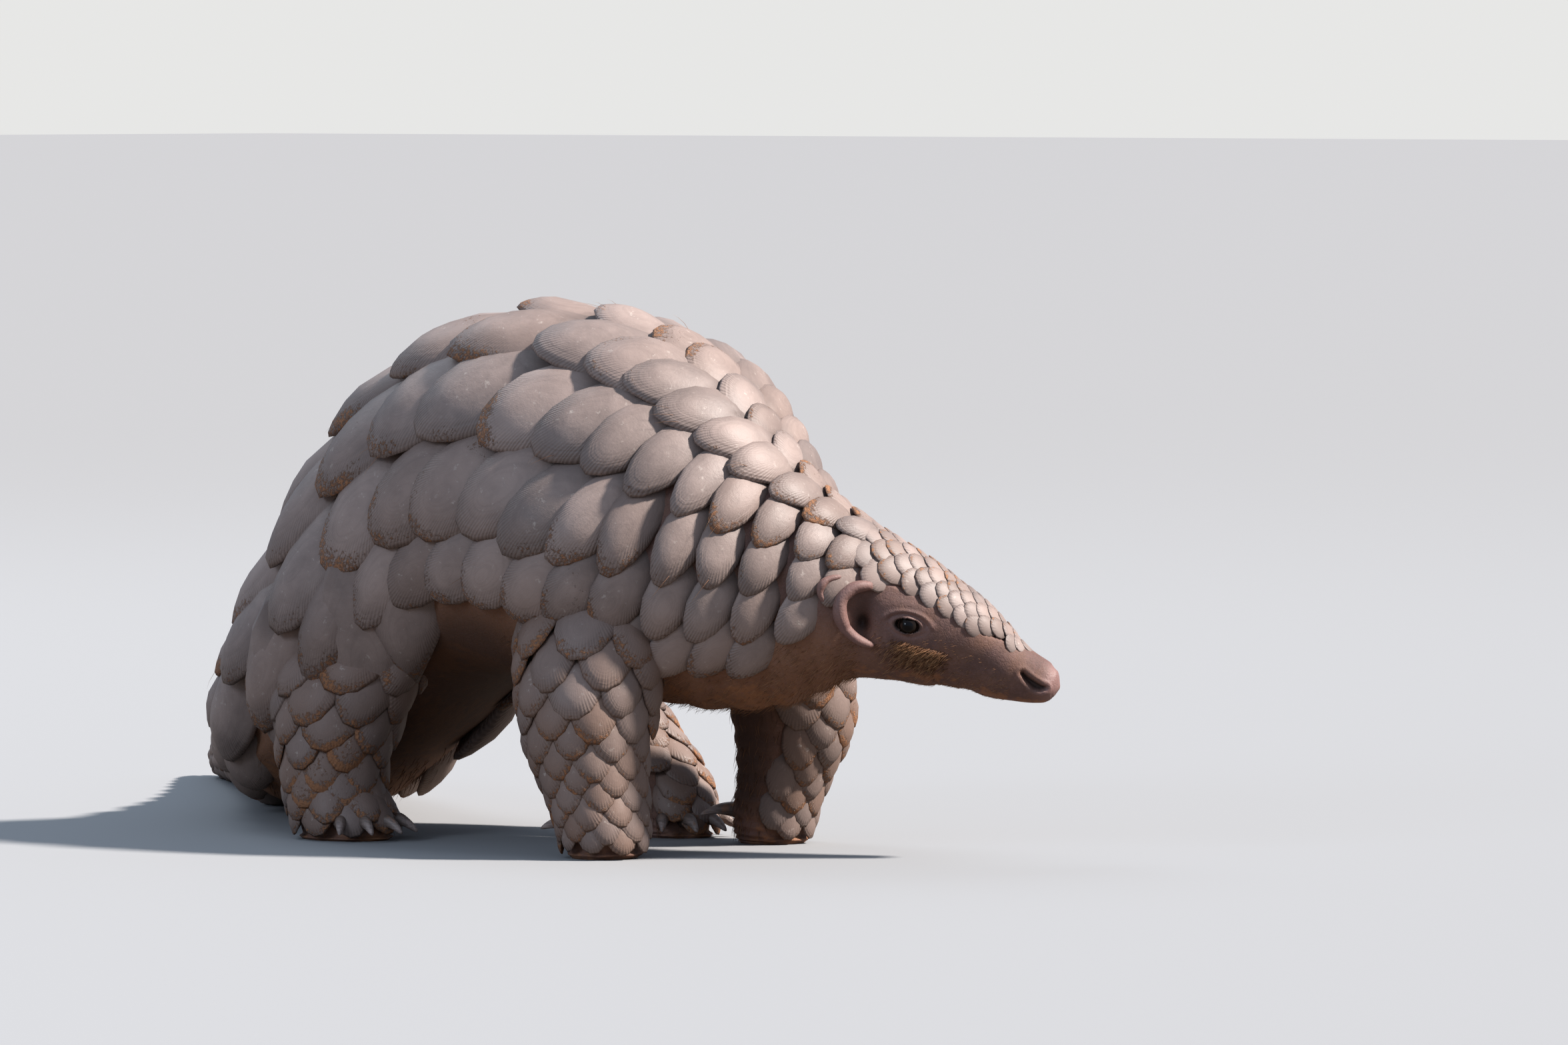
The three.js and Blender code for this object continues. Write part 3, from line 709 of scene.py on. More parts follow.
def horn_material(name, soil=0.35, bump=0.0009, warmth=0.3, pale_share=1.0):
    """Dusty horn of the scales: tone by scale, fine lines, growth bands, a paler worn middle with whitish
    specks, and soil.
    """
    colours = bpy.context.scene.pangolin_colours
    material, tree, shader = new_material(name)
    across, along_it, _ = parts(attribute(tree, "form", "Vector"))
    half, length, tone = parts(attribute(tree, "size", "Vector"))
    edge = attribute(tree, "edge")
    # The lines fan out from the root's side, a mm or so apart at the rim
    down = along_it * length
    fan = (across * half).calc("ARCTAN2", down + length * 0.35)
    lines = use_group(tree, "Horn lines", Across=fan * (length * 0.6), Along=down, Edge=edge, Tone=tone)
    where = object_place(tree)
    mottle = noise(where, 55.0, 5.0, 0.6)
    own = (tone * 17.3).calc("FRACT")
    pale = tone * 0.30 + mottle * 0.8 + edge.ramp(0.85, 0.2) * 0.12
    colour = (pale.ramp(0.3, 0.95) * pale_share).mix(colours.horn, colours.horn_pale)
    colour = ((own + 0.4 * warmth) * warmth).mix(colour, colours.horn_warm)
    margin = edge.ramp(0.35, 1.0) * along_it.ramp(-0.12, 0.12)
    dark_lines = lines["Lines"].ramp(0.75, 0.1) * (margin * 0.34 + 0.02)
    colour = dark_lines.mix(colour, colours.horn_dark)
    colour = (lines["Growth"].ramp(0.55, 0.35) * 0.10).mix(colour, colours.horn_dark)
    # Worn whitish specks on the crown
    specks = noise(where, 260.0, 4.0, 0.7).ramp(0.60, 0.72) * (edge.ramp(0.8, 0.3) * 0.45)
    colour = specks.mix(colour, colours.worn)
    # Painted shade: each scale's root end, where it lies under the scale before it, is darkened
    colour = (along_it.ramp(-0.28, -0.5) * 0.6).mix(colour, colours.horn_dark)
    seam = edge.ramp(0.45, 0.85) * along_it.ramp(-0.05, 0.25) * 0.75 + own * 0.45
    dirt = use_group(tree, "Soil patches", Seam=seam, Amount=soil, Size=620.0)["Mask"]
    carved = lines["Height"] * (margin * 0.9 + 0.1) + mottle * 0.35
    grit = noise(where, 700.0, 3.0, 0.7) * (dirt + 0.12)
    fill(shader, {
        "Base Color": (dirt * 0.75).mix(colour, colours.soil),
        "Roughness": mottle * 0.22 + 0.42 + dirt * 0.3,
        "Normal": bumped(carved + grit, bump),
        "Specular IOR Level": 0.4,
    })
    return material


def skin_material():
    """Bare skin: purplish cheeks, pink nose and lips, warm throat, painted shade in hollows, on the belly and
    inside the legs, creases with painted shade, and soil.
    """
    colours = bpy.context.scene.pangolin_colours
    material, tree, shader = new_material("bare skin")
    where = object_place(tree)
    pink, dark, warm, dust = (attribute(tree, name) for name in ("pink", "dark", "warm", "dust"))
    fine = noise(where, 420.0, 4.0, 0.7)
    wrinkles = use_group(tree, "Skin wrinkles", Size=380.0)
    blotches = noise(where, 70.0, 5.0, 0.6).ramp(0.35, 0.7) * 0.4
    colour = blotches.mix(colours.skin, colours.skin_warm)
    colour = warm.mix(colour, colours.skin_warm)
    colour = pink.mix(colour, colours.skin_pink)
    # Painted shade in the creases of the skin
    colour = ((1.0 - wrinkles["Crease"]) * 0.10).mix(colour, times(colours.skin, 0.3))
    colour = (fine.ramp(0.45, 0.7) * 0.25).mix(colour, colours.skin_pink)
    dirt = use_group(tree, "Soil patches", Seam=dust, Amount=0.4, Size=200.0)["Mask"]
    colour = (dirt * 0.5).mix(colour, colours.soil)
    fill(shader, {
        # The dark mask is painted shade: the skin goes near black there
        "Base Color": dark.mix(colour, times(colours.skin, 0.12)),
        "Roughness": 0.66 - pink * 0.2 + fine * 0.15,
        "Normal": bumped(wrinkles["Height"], 0.0006),
        "Subsurface Weight": 0.08,
        "Subsurface Radius": (0.004, 0.0015, 0.001),
    })
    return material


# What the eye has beside its iris
PUPIL = (0.002, 0.002, 0.003)
EYE_RIM = (0.06, 0.028, 0.022)


def eye_material():
    """A wet dark eye: pupil, brown iris and a thin reddish white at the rim."""
    colours = bpy.context.scene.pangolin_colours
    material, tree, shader = new_material("wet eye")
    angle = attribute(tree, "iris")
    iris = noise(object_place(tree), 1500.0).mix(colours.eye, times(colours.eye, 2.0))
    colour = angle.ramp(0.36, 0.42).mix(PUPIL, iris)
    fill(shader, {
        "Base Color": angle.ramp(0.86, 0.96).mix(colour, EYE_RIM),
        "Roughness": 0.08,
        "Specular IOR Level": 0.12,
        "Coat Weight": 0.25,
        "Coat Roughness": 0.02,
    })
    return material


def claw_material():
    """Claw horn: dark at the root, worn pale at the tip, scratched along."""
    colours = bpy.context.scene.pangolin_colours
    material, tree, shader = new_material("claw horn")
    scratch = noise(vector("MULTIPLY", object_place(tree), (120.0, 900.0, 900.0)), 1.0, 4.0)
    colour = attribute(tree, "reach").ramp(0.2, 1.0).mix(colours.claw, colours.horn_pale)
    colour = (scratch.ramp(0.6, 0.35) * 0.5).mix(colour, colours.horn_dark)
    dirt = use_group(tree, "Soil patches", Seam=0.4, Amount=0.4, Size=220.0)["Mask"]
    fill(shader, {
        "Base Color": (dirt * 0.6).mix(colour, colours.soil),
        "Roughness": scratch * 0.25 + 0.35,
        "Normal": bumped(scratch, 0.0003),
    })
    return material


def hair_material():
    """Hair: brown, paler by tuft and towards the tip."""
    colours = bpy.context.scene.pangolin_colours
    material, tree, shader = new_material("hair")
    reach = parts(attribute(tree, "form", "Vector"))[1]
    tone = parts(attribute(tree, "size", "Vector"))[2]
    colour = tone.mix(times(colours.hair, 0.35), times(colours.hair, 1.8))
    tips = reach.ramp(0.35, 1.0) * tone
    fill(shader, {"Base Color": tips.mix(colour, colours.hair_tip), "Roughness": 0.55})
    return material


def floor_material():
    """Plain pale floor that throws little light back up, as ground does."""
    stage = bpy.context.scene.pangolin_stage
    material, tree, shader = new_material("pale floor")
    seen = add_value(tree, "ShaderNodeLightPath", result="Is Camera Ray")
    fill(shader, {"Base Color": seen.mix(stage.floor_thrown, stage.floor), "Roughness": 0.9})
    return material


# Skin


def covered(t, v):
    """How far the body is covered by scales, from 0 on bare skin to 1."""
    angle = np.degrees(np.abs(v))
    crown = smooth(3.3, 3.9, t) * smooth(9.2, 8.9, t) * smooth(2, -5, angle - along(CROWN_FIELD["reach"], t))
    trunk = smooth(8.8, 9.2, t) * smooth(2, -8, angle - along(TRUNK_FIELD["reach"], t))
    return np.maximum(crown, trunk)


def nostril_distance(at, side):
    """Distance in mm from points to the edge of one nostril, negative inside it."""
    path = np.array(NOSTRIL)
    spots = TRUNK.point(path[:, 0], side * np.radians(path[:, 1]))
    nearest = np.full(at.shape[:-1], 99.0)
    for i in range(len(path) - 1):
        step = spots[i + 1] - spots[i]
        share = np.clip(np.sum((at - spots[i]) * step, axis=-1) / np.dot(step, step), 0, 1)
        width = path[i, 2] + share * (path[i + 1, 2] - path[i, 2])
        gap = np.linalg.norm(at - spots[i] - share[..., None] * step, axis=-1) - width
        nearest = np.minimum(nearest, gap)
    return nearest


def from_spot(at, v, side, spot, turned=0.0):
    """How far points lie tailward and down from a spot on one side of the head, by axes turned a
    little, whether they are near it, and how high they lie over it."""
    spot_at, way, turn, out = axes_at(TRUNK, spot[0], side * math.radians(spot[1]))
    offset = at - spot_at
    tailward, down, height = offset @ way, offset @ turn * side, offset @ out
    near = (np.sign(v) == side) & (np.abs(height) < 14)
    c, s = math.cos(turned), math.sin(turned)
    return tailward * c - down * s, tailward * s + down * c, near, height


def head_relief(t, v):
    """Displacement of the body's skin in mm, its direction, and its pink, dark, warm and dust masks; the dark
    mask is painted shade.
    """
    head = bpy.context.scene.pangolin_head
    at, _, _, out = surface_axes(TRUNK, t, v)
    angle = np.degrees(np.abs(v))
    rise, dark = np.zeros_like(t), np.zeros_like(t)
    pink = smooth(2.6, 1.2, t)
    for side in (-1, 1):
        # The eye: its opening is sunk behind the ball, and the lids stand over the ball
        a, b, near, height = from_spot(at, v, side, EYE, math.radians(-8))
        half_length, half_height = np.array(head.eye_opening) / MM
        reach = np.hypot(a / half_length, b / half_height)
        radius = head.eye_radius / MM
        ball = np.sqrt(np.maximum(radius ** 2 - a ** 2 - b ** 2, 0)) - head.eye_depth / MM
        lid = np.maximum(ball, -0.6) + head.lid_rise / MM
        wanted = np.where(reach < 1.0, ball - 1.6, lid)
        # Folds over the upper lid, and weaker ones under the eye
        fold = 0.55 * hill(reach, 1.22, 0.16) - 0.75 * hill(reach, 1.62, 0.16)
        fold = smooth(0.6, -1.6, b) * (fold + 0.55 * hill(reach, 2.05, 0.28))
        lower = 0.3 * hill(reach, 1.2, 0.15) - 0.4 * hill(reach, 1.6, 0.2)
        fold = fold + smooth(0.4, 2.4, b) * lower
        merge = smooth(2.6, 1.15, reach)
        rise = np.where(near & (reach < 5), rise + merge * (wanted - height) + fold, rise)
        brow = 0.8 * hill(b, -8, 3.5) * hill(a, 0, 9)
        cheek = 1.3 * hill(b, 11, 5) * hill(a, 2, 10)
        rise = rise + near * (brow + cheek)
        # Painted shade in the eye's opening round the ball
        dark = np.maximum(dark, near * 0.75 * smooth(1.35, 1.0, reach))
        pink = np.maximum(pink, near * 0.5 * smooth(2.6, 1.5, reach) * smooth(1.0, 1.3, reach))

        # The ear's hollow with its opening low in it
        a, b, near, _ = from_spot(at, v, side, EAR_HOLE)
        hollow = hill(a, 1.2, 5.5) * hill(b, -2.5, 10.0)
        hole = hill(a, -0.3, 2.6) * hill(b, 1.0, 4.2)
        rise = rise - near * (3.0 * hollow + 3.6 * hole)
        # Painted shade in the ear's hollow and opening
        dark = np.maximum(dark, near * np.minimum(0.5 * hole + 0.7 * hollow, 0.95))
        pink = np.maximum(pink, near * 0.35 * hill(np.hypot(a - 2, b), 0, 17.32))

        # The nostril is a comma that slants down forward and hooks round, with a soft rim
        away = nostril_distance(at, side)
        rise = rise - 2.8 * smooth(0.8, -1.2, away) + 0.4 * hill(away, 1.8, 1.0)
        # Painted shade inside the nostril
        dark = np.maximum(dark, 0.9 * smooth(0.5, -0.9, away))

    # The line of the mouth, with a lip on either side
    station = stations_at(BODY, t)
    away = np.radians(angle - along(MOUTH, t)) * (station[..., 3] + station[..., 5]) / 2
    within = smooth(1.1, 1.8, t) * smooth(4.6, 4.0, t)
    lips = 0.65 * hill(away, -1.7, 1.1) + 0.45 * hill(away, 1.6, 1.0)
    rise = rise + within * (lips - 1.3 * hill(away, 0, 0.55))
    # Painted shade along the mouth's line
    dark = np.maximum(dark, within * 0.85 * hill(away, 0, 0.6))
    pink = np.maximum(pink, within * 0.6 * hill(away, 0, 3.0))
    # Loose folds round the throat
    folds = smooth(8.6, 9.6, t) * smooth(12.4, 11.0, t) * smooth(100, 125, angle)
    rise = rise + folds * 0.8 * np.sin(t * 11 + 0.8 * np.sin(angle / 17))
    # The belly between the legs is darkened: painted shade
    belly = smooth(12.6, 14, t) * smooth(19, 18, t) * smooth(108, 132, angle)
    masks = {
        "pink": pink,
        "dark": np.maximum(dark, 0.6 * belly),
        "warm": smooth(7.8, 9.4, t) * smooth(88, 118, angle),
        "dust": smooth(110, 150, angle),
    }
    return rise, out, masks


# How deep the body's skin lies under its scales, by place, in mm
UNDER_SCALES = [(9, 2.4), (13, 4.5), (22, 4.0), (26, 2.0)]
UNDER_CROWN = 1.6


def in_steps(starts):
    """Values that run through stretches, each given by its start and its number of steps."""
    stretches = zip(starts, starts[1:])
    runs = [np.linspace(a, b, steps, endpoint=False) for (a, steps), (b, _) in stretches]
    return np.concatenate([*runs, [starts[-1][0]]])


def body_skin():
    """The body's skin from nose to tail tip, sunk under the scales."""
    # Rings, and the points of a ring, lie closer where eye, ear and mouth are
    t = in_steps([(0.02, 12), (1, 64), (4.4, 40), (6.9, 92), (9.3, 40), (12.5, 100), (26.95, 0)])
    half = in_steps([(0, 15), (68, 50), (128, 22), (180, 0)])
    v = np.radians(np.concatenate([half, -half[-2:0:-1]]))
    tt, vv = np.meshgrid(t, v, indexing="ij")
    rise, out, masks = head_relief(tt, vv)
    under = covered(tt, vv)
    depth = np.where(tt < CROWN_FIELD["end"], UNDER_CROWN, along(UNDER_SCALES, tt)) * under
    rings = TRUNK.point(tt, vv, -0.25 - depth) + out * rise[..., None]
    rings[..., 2] = np.maximum(rings[..., 2], 0.6)
    return add_tube("body_skin", rings, {**masks, "covered": under})


def leg_skin(name):
    """One leg's skin, sunk under its scales, with a flat sole."""
    leg = LIMBS[name]
    last = len(leg.table) - 1
    t = in_steps([(0, 56), (last - 1.2, 17), (last, 0)])
    v = np.linspace(-math.pi, math.pi, 72, endpoint=False)
    tt, vv = np.meshgrid(t, v, indexing="ij")
    around = np.degrees(np.abs(np.arctan2(np.sin(vv - leg.middle), np.cos(vv - leg.middle))))
    field = LEG_SCALES[name[:4]]
    under = smooth(last - field["short"] + 0.9, last - field["short"] + 0.3, tt) * smooth(126, 110, around)
    folds = 0.5 * np.sin(tt * 14 + 1.2 * np.sin(vv * 2)) * smooth(100, 130, around)
    folds = folds * smooth(last, last - 0.6, tt)
    knuckles = 0.9 * np.cos(vv * 7) * smooth(last - 2.0, last - 1.2, tt)
    knuckles = knuckles * smooth(90, 40, np.degrees(np.abs(vv))) * smooth(last, last - 0.4, tt)
    rings = leg.point(tt, vv, -0.3 - 3.2 * under + folds + knuckles)
    masks = {
        "pink": 0.5 * smooth(110, 150, around) * smooth(last - 2.2, last - 1.4, tt),
        # Painted shade on the inner side of the upper leg, under the body
        "dark": 0.55 * smooth(105, 150, around) * smooth(last - 1.6, last - 2.6, tt),
        "warm": np.full_like(tt, 0.5),
        "dust": smooth(last - 3, last - 0.5, tt),
        "covered": under,
    }
    return add_tube(name + "_skin", rings, masks)


def build_skin():
    """One skin of body and legs, joined and softened where they meet."""
    body = body_skin()
    for name in LEGS:
        limb = leg_skin(name)
        union = body.modifiers.new("join", "BOOLEAN")
        union.operation = "UNION"
        union.solver = "MANIFOLD"
        union.object = limb
        mesh = evaluated_mesh(body)
        body.modifiers.remove(union)
        body.data = mesh
        bpy.data.objects.remove(limb)
    body.name = "skin"
    body.data.name = "skin"
    soften_joins(body)
    body.data.shade_smooth()
    return body


# Creases that are rounded: sharper than an angle, above a height and behind a place on the neck, in
# mm, with how many rings of points round them are moved, and how often
CREASE = {"angle": 32, "above": 30, "behind": 70, "rings": 5, "rounds": 15}


def soften_joins(body):
    """Rounds the creases where legs meet the body."""
    work = bmesh.new()
    work.from_mesh(body.data)
    head_start = place([[CREASE["behind"], 0, 0]])[0][0]
    near = set()
    for edge in work.edges:
        if len(edge.link_faces) == 2 and edge.calc_face_angle(0) > math.radians(CREASE["angle"]):
            middle = (edge.verts[0].co + edge.verts[1].co) / 2
            if middle.z > CREASE["above"] * MM and middle.x < head_start:
                near.update(edge.verts)
    for _ in range(CREASE["rings"]):
        near |= {other for vert in near for edge in vert.link_edges for other in edge.verts}
    for _ in range(CREASE["rounds"]):
        bmesh.ops.smooth_vert(
            work, verts=list(near), factor=0.5, use_axis_x=True, use_axis_y=True, use_axis_z=True)
    work.to_mesh(body.data)
    work.free()


# Scales

# How much scales differ by chance: in place, by the gap to the next, in turn, in radians, and by
# a share in size and in how pointed they are
UNEVEN = {"along": 0.07, "across": 0.06, "turn": 0.09, "size": 0.04, "point": 0.2}


def scale_ranks(tube, field):
    """Places t of the ranks of a field."""
    places = [field["start"]]
    while places[-1] < field["end"]:
        t = places[-1]
        places.append(t + along(field["spacing"], t) / tube.size(t)[1])
    return places


def row_angle(tube, field, t, row):
    """Angle of a row from the field's middle, in radians."""
    if "rows" in field:
        return math.radians(np.interp(row, range(len(field["rows"])), field["rows"]))
    return along(field["row"], t) / tube.size(t)[0] * row


def local_size(tube, t, angle):
    """Radius of the turn at a place of the tube, and the length of one unit of t there, in mm."""
    small = 0.05
    ahead = tube.point(np.array([t - small, t + small]), angle)
    round_it = tube.point(t, np.array([angle - small, angle + small]))
    return [np.linalg.norm(ends[1] - ends[0]) / (2 * small) for ends in (round_it, ahead)]


def bend_between(at, spot, out, distance):
    """How far a scale bends to reach a spot, per square mm, at most as a scale can."""
    fall = np.clip(np.dot(at - spot, out), -0.1 * distance, MOST_BEND * distance)
    return fall / distance ** 2


def scale_points(tube, field, draw):
    """Attributes of every scale of a field: where it sits, its directions, sizes and bends."""
    places = scale_ranks(tube, field)
    most = len(field["rows"]) - 1 if "rows" in field else 14
    rows = []
    for i in range(len(places) - 1):
        for c in range(-most, most + 1):
            shift = float(along(field["stagger"], places[i])) * (c % 2)
            t = places[i] + shift * (places[i + 1] - places[i])
            around = row_angle(tube, field, t, abs(c))
            if t < field["end"] and around <= math.radians(along(field["reach"], t)):
                rows.append(scale_row(tube, field, draw, t, c, around))
    return rows


def scale_row(tube, field, draw, t, c, around):
    """Attributes of one scale whose middle shows at place t, in row c."""
    on_trunk = "rows" in field
    side = (c > 0) - (c < 0)
    radius, per_unit = local_size(tube, t, tube.middle + side * around)
    stretch = min(max(per_unit / tube.size(t)[1], 0.8), 1.12)
    spacing = along(field["spacing"], t) * stretch
    below = row_angle(tube, field, t, abs(c) + 0.5)
    above = row_angle(tube, field, t, max(abs(c) - 0.5, 0)) if c else -below
    apart = (below - above) * radius
    t += jitter(draw, UNEVEN["along"]) * spacing / per_unit
    around += jitter(draw, UNEVEN["across"]) * apart / radius if c else 0.0
    start, full, fade, gone = MARGIN["span"]
    degrees = math.degrees(around)
    marginal = smooth(start, full, t) * smooth(gone, fade, t) * smooth(*MARGIN["angle"], degrees)
    marginal = float(marginal) if on_trunk else 0.0
    turn = along(field["turn"], t) * math.sin(min(1.6 * around, math.pi / 2)) + MARGIN["turn"] * marginal
    if on_trunk:
        turn *= 1 - 0.45 * float(smooth(13.5, 12, t) * smooth(92, 122, degrees))
    turn = math.radians(turn) + jitter(draw, UNEVEN["turn"])
    down, back = math.sin(turn), math.cos(turn)
    shows = spacing * back + apart * down
    stagger = along(field["stagger"], t)
    if on_trunk:
        wide = 1.08 * math.hypot(spacing * down, apart * back * (1 + 1.4 * stagger))
    else:
        wide = spacing * down + apart * back * (1 + 2 * stagger)
    length = along(field["length"], t) * shows * (1 + MARGIN["longer"] * marginal)
    length *= 1 + jitter(draw, UNEVEN["size"])
    half = along(field["width"], t) * wide / 2 * (1 + jitter(draw, UNEVEN["size"]))
    side = side or 1

    def spot(share, across=0.0):
        """A point of the tube that lies a share of the length down the scale, and across it."""
        ahead = share * length
        place_t = t + (ahead * back - across * down) / per_unit
        angle = side * around + side * (ahead * down + across * back) / radius
        return min(place_t, field["last"]), tube.middle + angle

    middle = spot(-SHOWN_SHIFT)
    at, _, _, out = axes_at(tube, *middle)
    root = tube.point(*spot(-SHOWN_SHIFT - ROOT_SHARE))
    tip = tube.point(*spot(1 - SHOWN_SHIFT - ROOT_SHARE))
    flanks = [tube.point(*spot(-SHOWN_SHIFT, s * half)) for s in (-1, 1)]
    way = tip - root
    way = unit(way - out * np.dot(way, out))
    sides = [bend_between(at, flank, out, half) for flank in flanks]
    neck = float(smooth(12.6, 11.2, t)) if on_trunk else 0.0
    return {
        "at": at,
        "way": way,
        "across": np.cross(way, out),
        "out": out,
        "size": (half, length, draw.random()),
        "bend": (
            bend_between(at, root, out, ROOT_SHARE * length),
            bend_between(at, tip, out, (1 - ROOT_SHARE) * length),
            sum(sides) / 2,
        ),
        "tilt": (-side * math.sin(max(turn - math.radians(45), 0)), -side * 0.2 * down, 0.0),
        "point": 0.10 + 0.12 * neck + 0.75 * marginal * (1 + jitter(draw, UNEVEN["point"])),
        "root": (middle[1] / (2 * math.pi) + 0.5, middle[0]),
    }


# A scale's forms: points round it, and rings from its middle to its underside with their heights
SCALE_FORMS = {
    "large": (16, [(0.5, 1.0), (0.8, 0.97), (0.95, 0.85), (1.0, 0.35), (0.965, -0.55)]),
    "small": (12, [(0.62, 1.0), (0.92, 0.85), (1.0, 0.3), (0.95, -0.5)]),
}
# How blunt the outline is, the share of the length from root to crown, and how far rootward of the
# middle of what shows the crown lies, by the length
BLUNT = 0.97
ROOT_SHARE = 0.58
SHOWN_SHIFT = 0.05


def scale_template(word, segments, rings):
    """One scale's form: x from -1 to 1 across, y in its length from root to tip, z its height
    from 1 at the crown, and its edge value from 0 in the middle to 1 at the rim."""
    points, edges, faces = [(0.0, 0.08, 1.0)], [0.0], []
    for reach, height in rings:
        for k in range(segments):
            angle = 2 * math.pi * (k + 0.5) / segments
            x = math.copysign(abs(math.sin(angle)) ** BLUNT, math.sin(angle)) * reach
            y = 0.5 * math.copysign(abs(math.cos(angle)) ** BLUNT, math.cos(angle)) * reach
            points.append((x, y + 0.5 - ROOT_SHARE + 0.08 * (1 - reach), height))
            edges.append(reach)
    for k in range(segments):
        after = (k + 1) % segments
        faces.append((0, 1 + after, 1 + k))
        for r in range(len(rings) - 1):
            a, b = 1 + r * segments, 1 + (r + 1) * segments
            faces.append((a + k, a + after, b + after, b + k))
    faces.append(tuple(range(len(points) - segments, len(points))))
    return add_mesh(f"scale_form_{word}", points, faces, {"form": points, "edge": edges})


def new_forms_tree(name, **numbers):
    """A tree that sets a form on every point: its inputs by name, and all the forms as one mesh."""
    tree = bpy.data.node_groups.new(name, "GeometryNodeTree")
    face = tree.interface
    kinds = {"Points": "Geometry", "Form": "Object", "Patch": "Vector", "Material": "Material"}
    for key, kind in kinds.items():
        face.new_socket(key, in_out="INPUT", socket_type="NodeSocket" + kind)
    for key, default in numbers.items():
        face.new_socket(key, in_out="INPUT", socket_type="NodeSocketFloat").default_value = default
    face.new_socket("Made", in_out="OUTPUT", socket_type="NodeSocketGeometry")
    source = by_name(tree.nodes.new("NodeGroupInput").outputs)
    form = add_value(tree, "GeometryNodeObjectInfo", {"Object": source["Form"]}, "Geometry")
    where = {"Points": source["Points"], "Instance": form}
    placed = add_value(tree, "GeometryNodeInstanceOnPoints", where)
    return tree, source, add_value(tree, "GeometryNodeRealizeInstances", {0: placed})


def finish_forms(source, real, x, y, z):
    """Moves the forms' points to x, y and z in each form's own directions, and gives each form its
    own patch on the unwrap of the skin, and its material."""
    tree = real.tree
    spot = named(tree, "at")
    for axis, distance in (("across", x), ("way", y), ("out", z)):
        spot = vector("ADD", spot, vector("SCALE", named(tree, axis), distance))
    done = add_value(tree, "GeometryNodeSetPosition", {"Geometry": real, "Position": spot})
    patch = vector("ADD", named(tree, "root"), vector("MULTIPLY", named(tree, "form"), source["Patch"]))
    done = add_value(
        tree, "GeometryNodeStoreNamedAttribute",
        {"Geometry": done, "Name": "OFBake", "Value": patch}, data_type="FLOAT2", domain="CORNER")
    done = add_value(tree, "GeometryNodeSetShadeSmooth", {"Geometry": done})
    coat = {"Geometry": done, "Material": source["Material"]}
    fill(tree.nodes.new("NodeGroupOutput"), {0: add_value(tree, "GeometryNodeSetMaterial", coat)})


def build_scale_tree():
    """Geometry nodes that set one scale's form on every point by its own directions and sizes."""
    tree, source, real = new_forms_tree(
        "Set scales", Slope=0.15, Depth=0.06, Thickness=0.036, Dome=0.05, Wobble=0.06, Seed=1.0)
    form, size, bend, tilt = (parts(named(tree, key)) for key in ("form", "size", "bend", "tilt"))
    edge, point = named(tree, "edge", "FLOAT"), named(tree, "point", "FLOAT")
    half, length = size[0] * MM, size[1] * MM
    # The rim is uneven, more so towards the edge
    shift = combined(tree, 0.0, 0.0, size[2] * 91.0 + source["Seed"])
    where = vector("ADD", vector("SCALE", named(tree, "form"), 1.6), shift)
    spread = (noise(where, 1.0, 1.0) - 0.5) * source["Wobble"] * (edge * 2.0) + 1.0
    # Pointed scales narrow towards the tip
    tipward = (form[1] * 2.4).calc("MAXIMUM", 0.0).calc("SMOOTH_MIN", 1.0, 0.1)
    narrow = 1.0 - point * tipward * 0.85
    x = form[0] * half * (narrow * spread)
    y = form[1] * length * spread + point * tipward * (length * 0.14)
    to_tip = y > 0.0
    bend_y = bend[1] * to_tip + bend[0] * (1.0 - to_tip)
    sag = y * y * (bend_y / MM) + x * x * (bend[2] / MM)
    # A scale rises to its tip and, where it is turned, to its tailward side too
    lift = (y + length * ROOT_SHARE + x * tilt[0]) * source["Slope"] - length * source["Depth"]
    body = form[2] * (length * source["Thickness"])
    # The dome stands over the part that shows and falls away under the scales that cover it
    aside, ahead = form[0] - tilt[1], form[1] - 0.07
    ahead = ahead * ((ahead > 0.0) * 0.6 + 2.0)
    dome = (1.0 - (aside * aside + ahead * ahead)).calc("MAXIMUM", -0.6) * (length * source["Dome"])
    finish_forms(source, real, x, y, lift + (body + dome) - sag)


def build_hair_tree():
    """Geometry nodes that set one blade of hair on every point, curled back towards the skin."""
    tree, source, real = new_forms_tree("Set hairs", Curl=0.35)
    form, size = parts(named(tree, "form")), parts(named(tree, "size"))
    radius, length = size[0] * MM, size[1] * MM
    curl = form[1] * form[1] * (source["Curl"] * -1.0)
    finish_forms(source, real, form[0] * radius, form[1] * length, form[2] * radius + curl * length)


def hair_template():
    """One blade of hair: y from 0 at the root to 1 at the tip, x and z round it, tapering."""
    points, faces = [], []
    for y, reach in ((0.0, 1.0), (0.35, 0.85), (0.7, 0.55), (1.0, 0.08)):
        for k in range(3):
            points.append((math.sin(k * math.tau / 3) * reach, y, math.cos(k * math.tau / 3) * reach))
    for r in range(3):
        for k in range(3):
            a, b = 3 * r + k, 3 * r + (k + 1) % 3
            faces.append((a, b, b + 3, a + 3))
    faces += [(2, 1, 0), (9, 10, 11)]
    return add_mesh("hair_form", points, faces, {"form": points})


def keep_above_floor(piece):
    """Lifts what would reach below the floor."""
    spots = np.empty(3 * len(piece.data.vertices), np.float32)
    piece.data.vertices.foreach_get("co", spots)
    spots[2::3] = np.maximum(spots[2::3], FLOOR_GAP)
    piece.data.vertices.foreach_set("co", spots)


def set_input(modifier, name, value):
    """Sets one input of a geometry nodes modifier by its socket's identifier."""
    for item in modifier.node_group.interface.items_tree:
        if item.item_type == "SOCKET" and item.in_out == "INPUT" and item.name == name:
            modifier[item.identifier] = value
            return
    raise RuntimeError(f"the tree {modifier.node_group.name} has no input {name}")


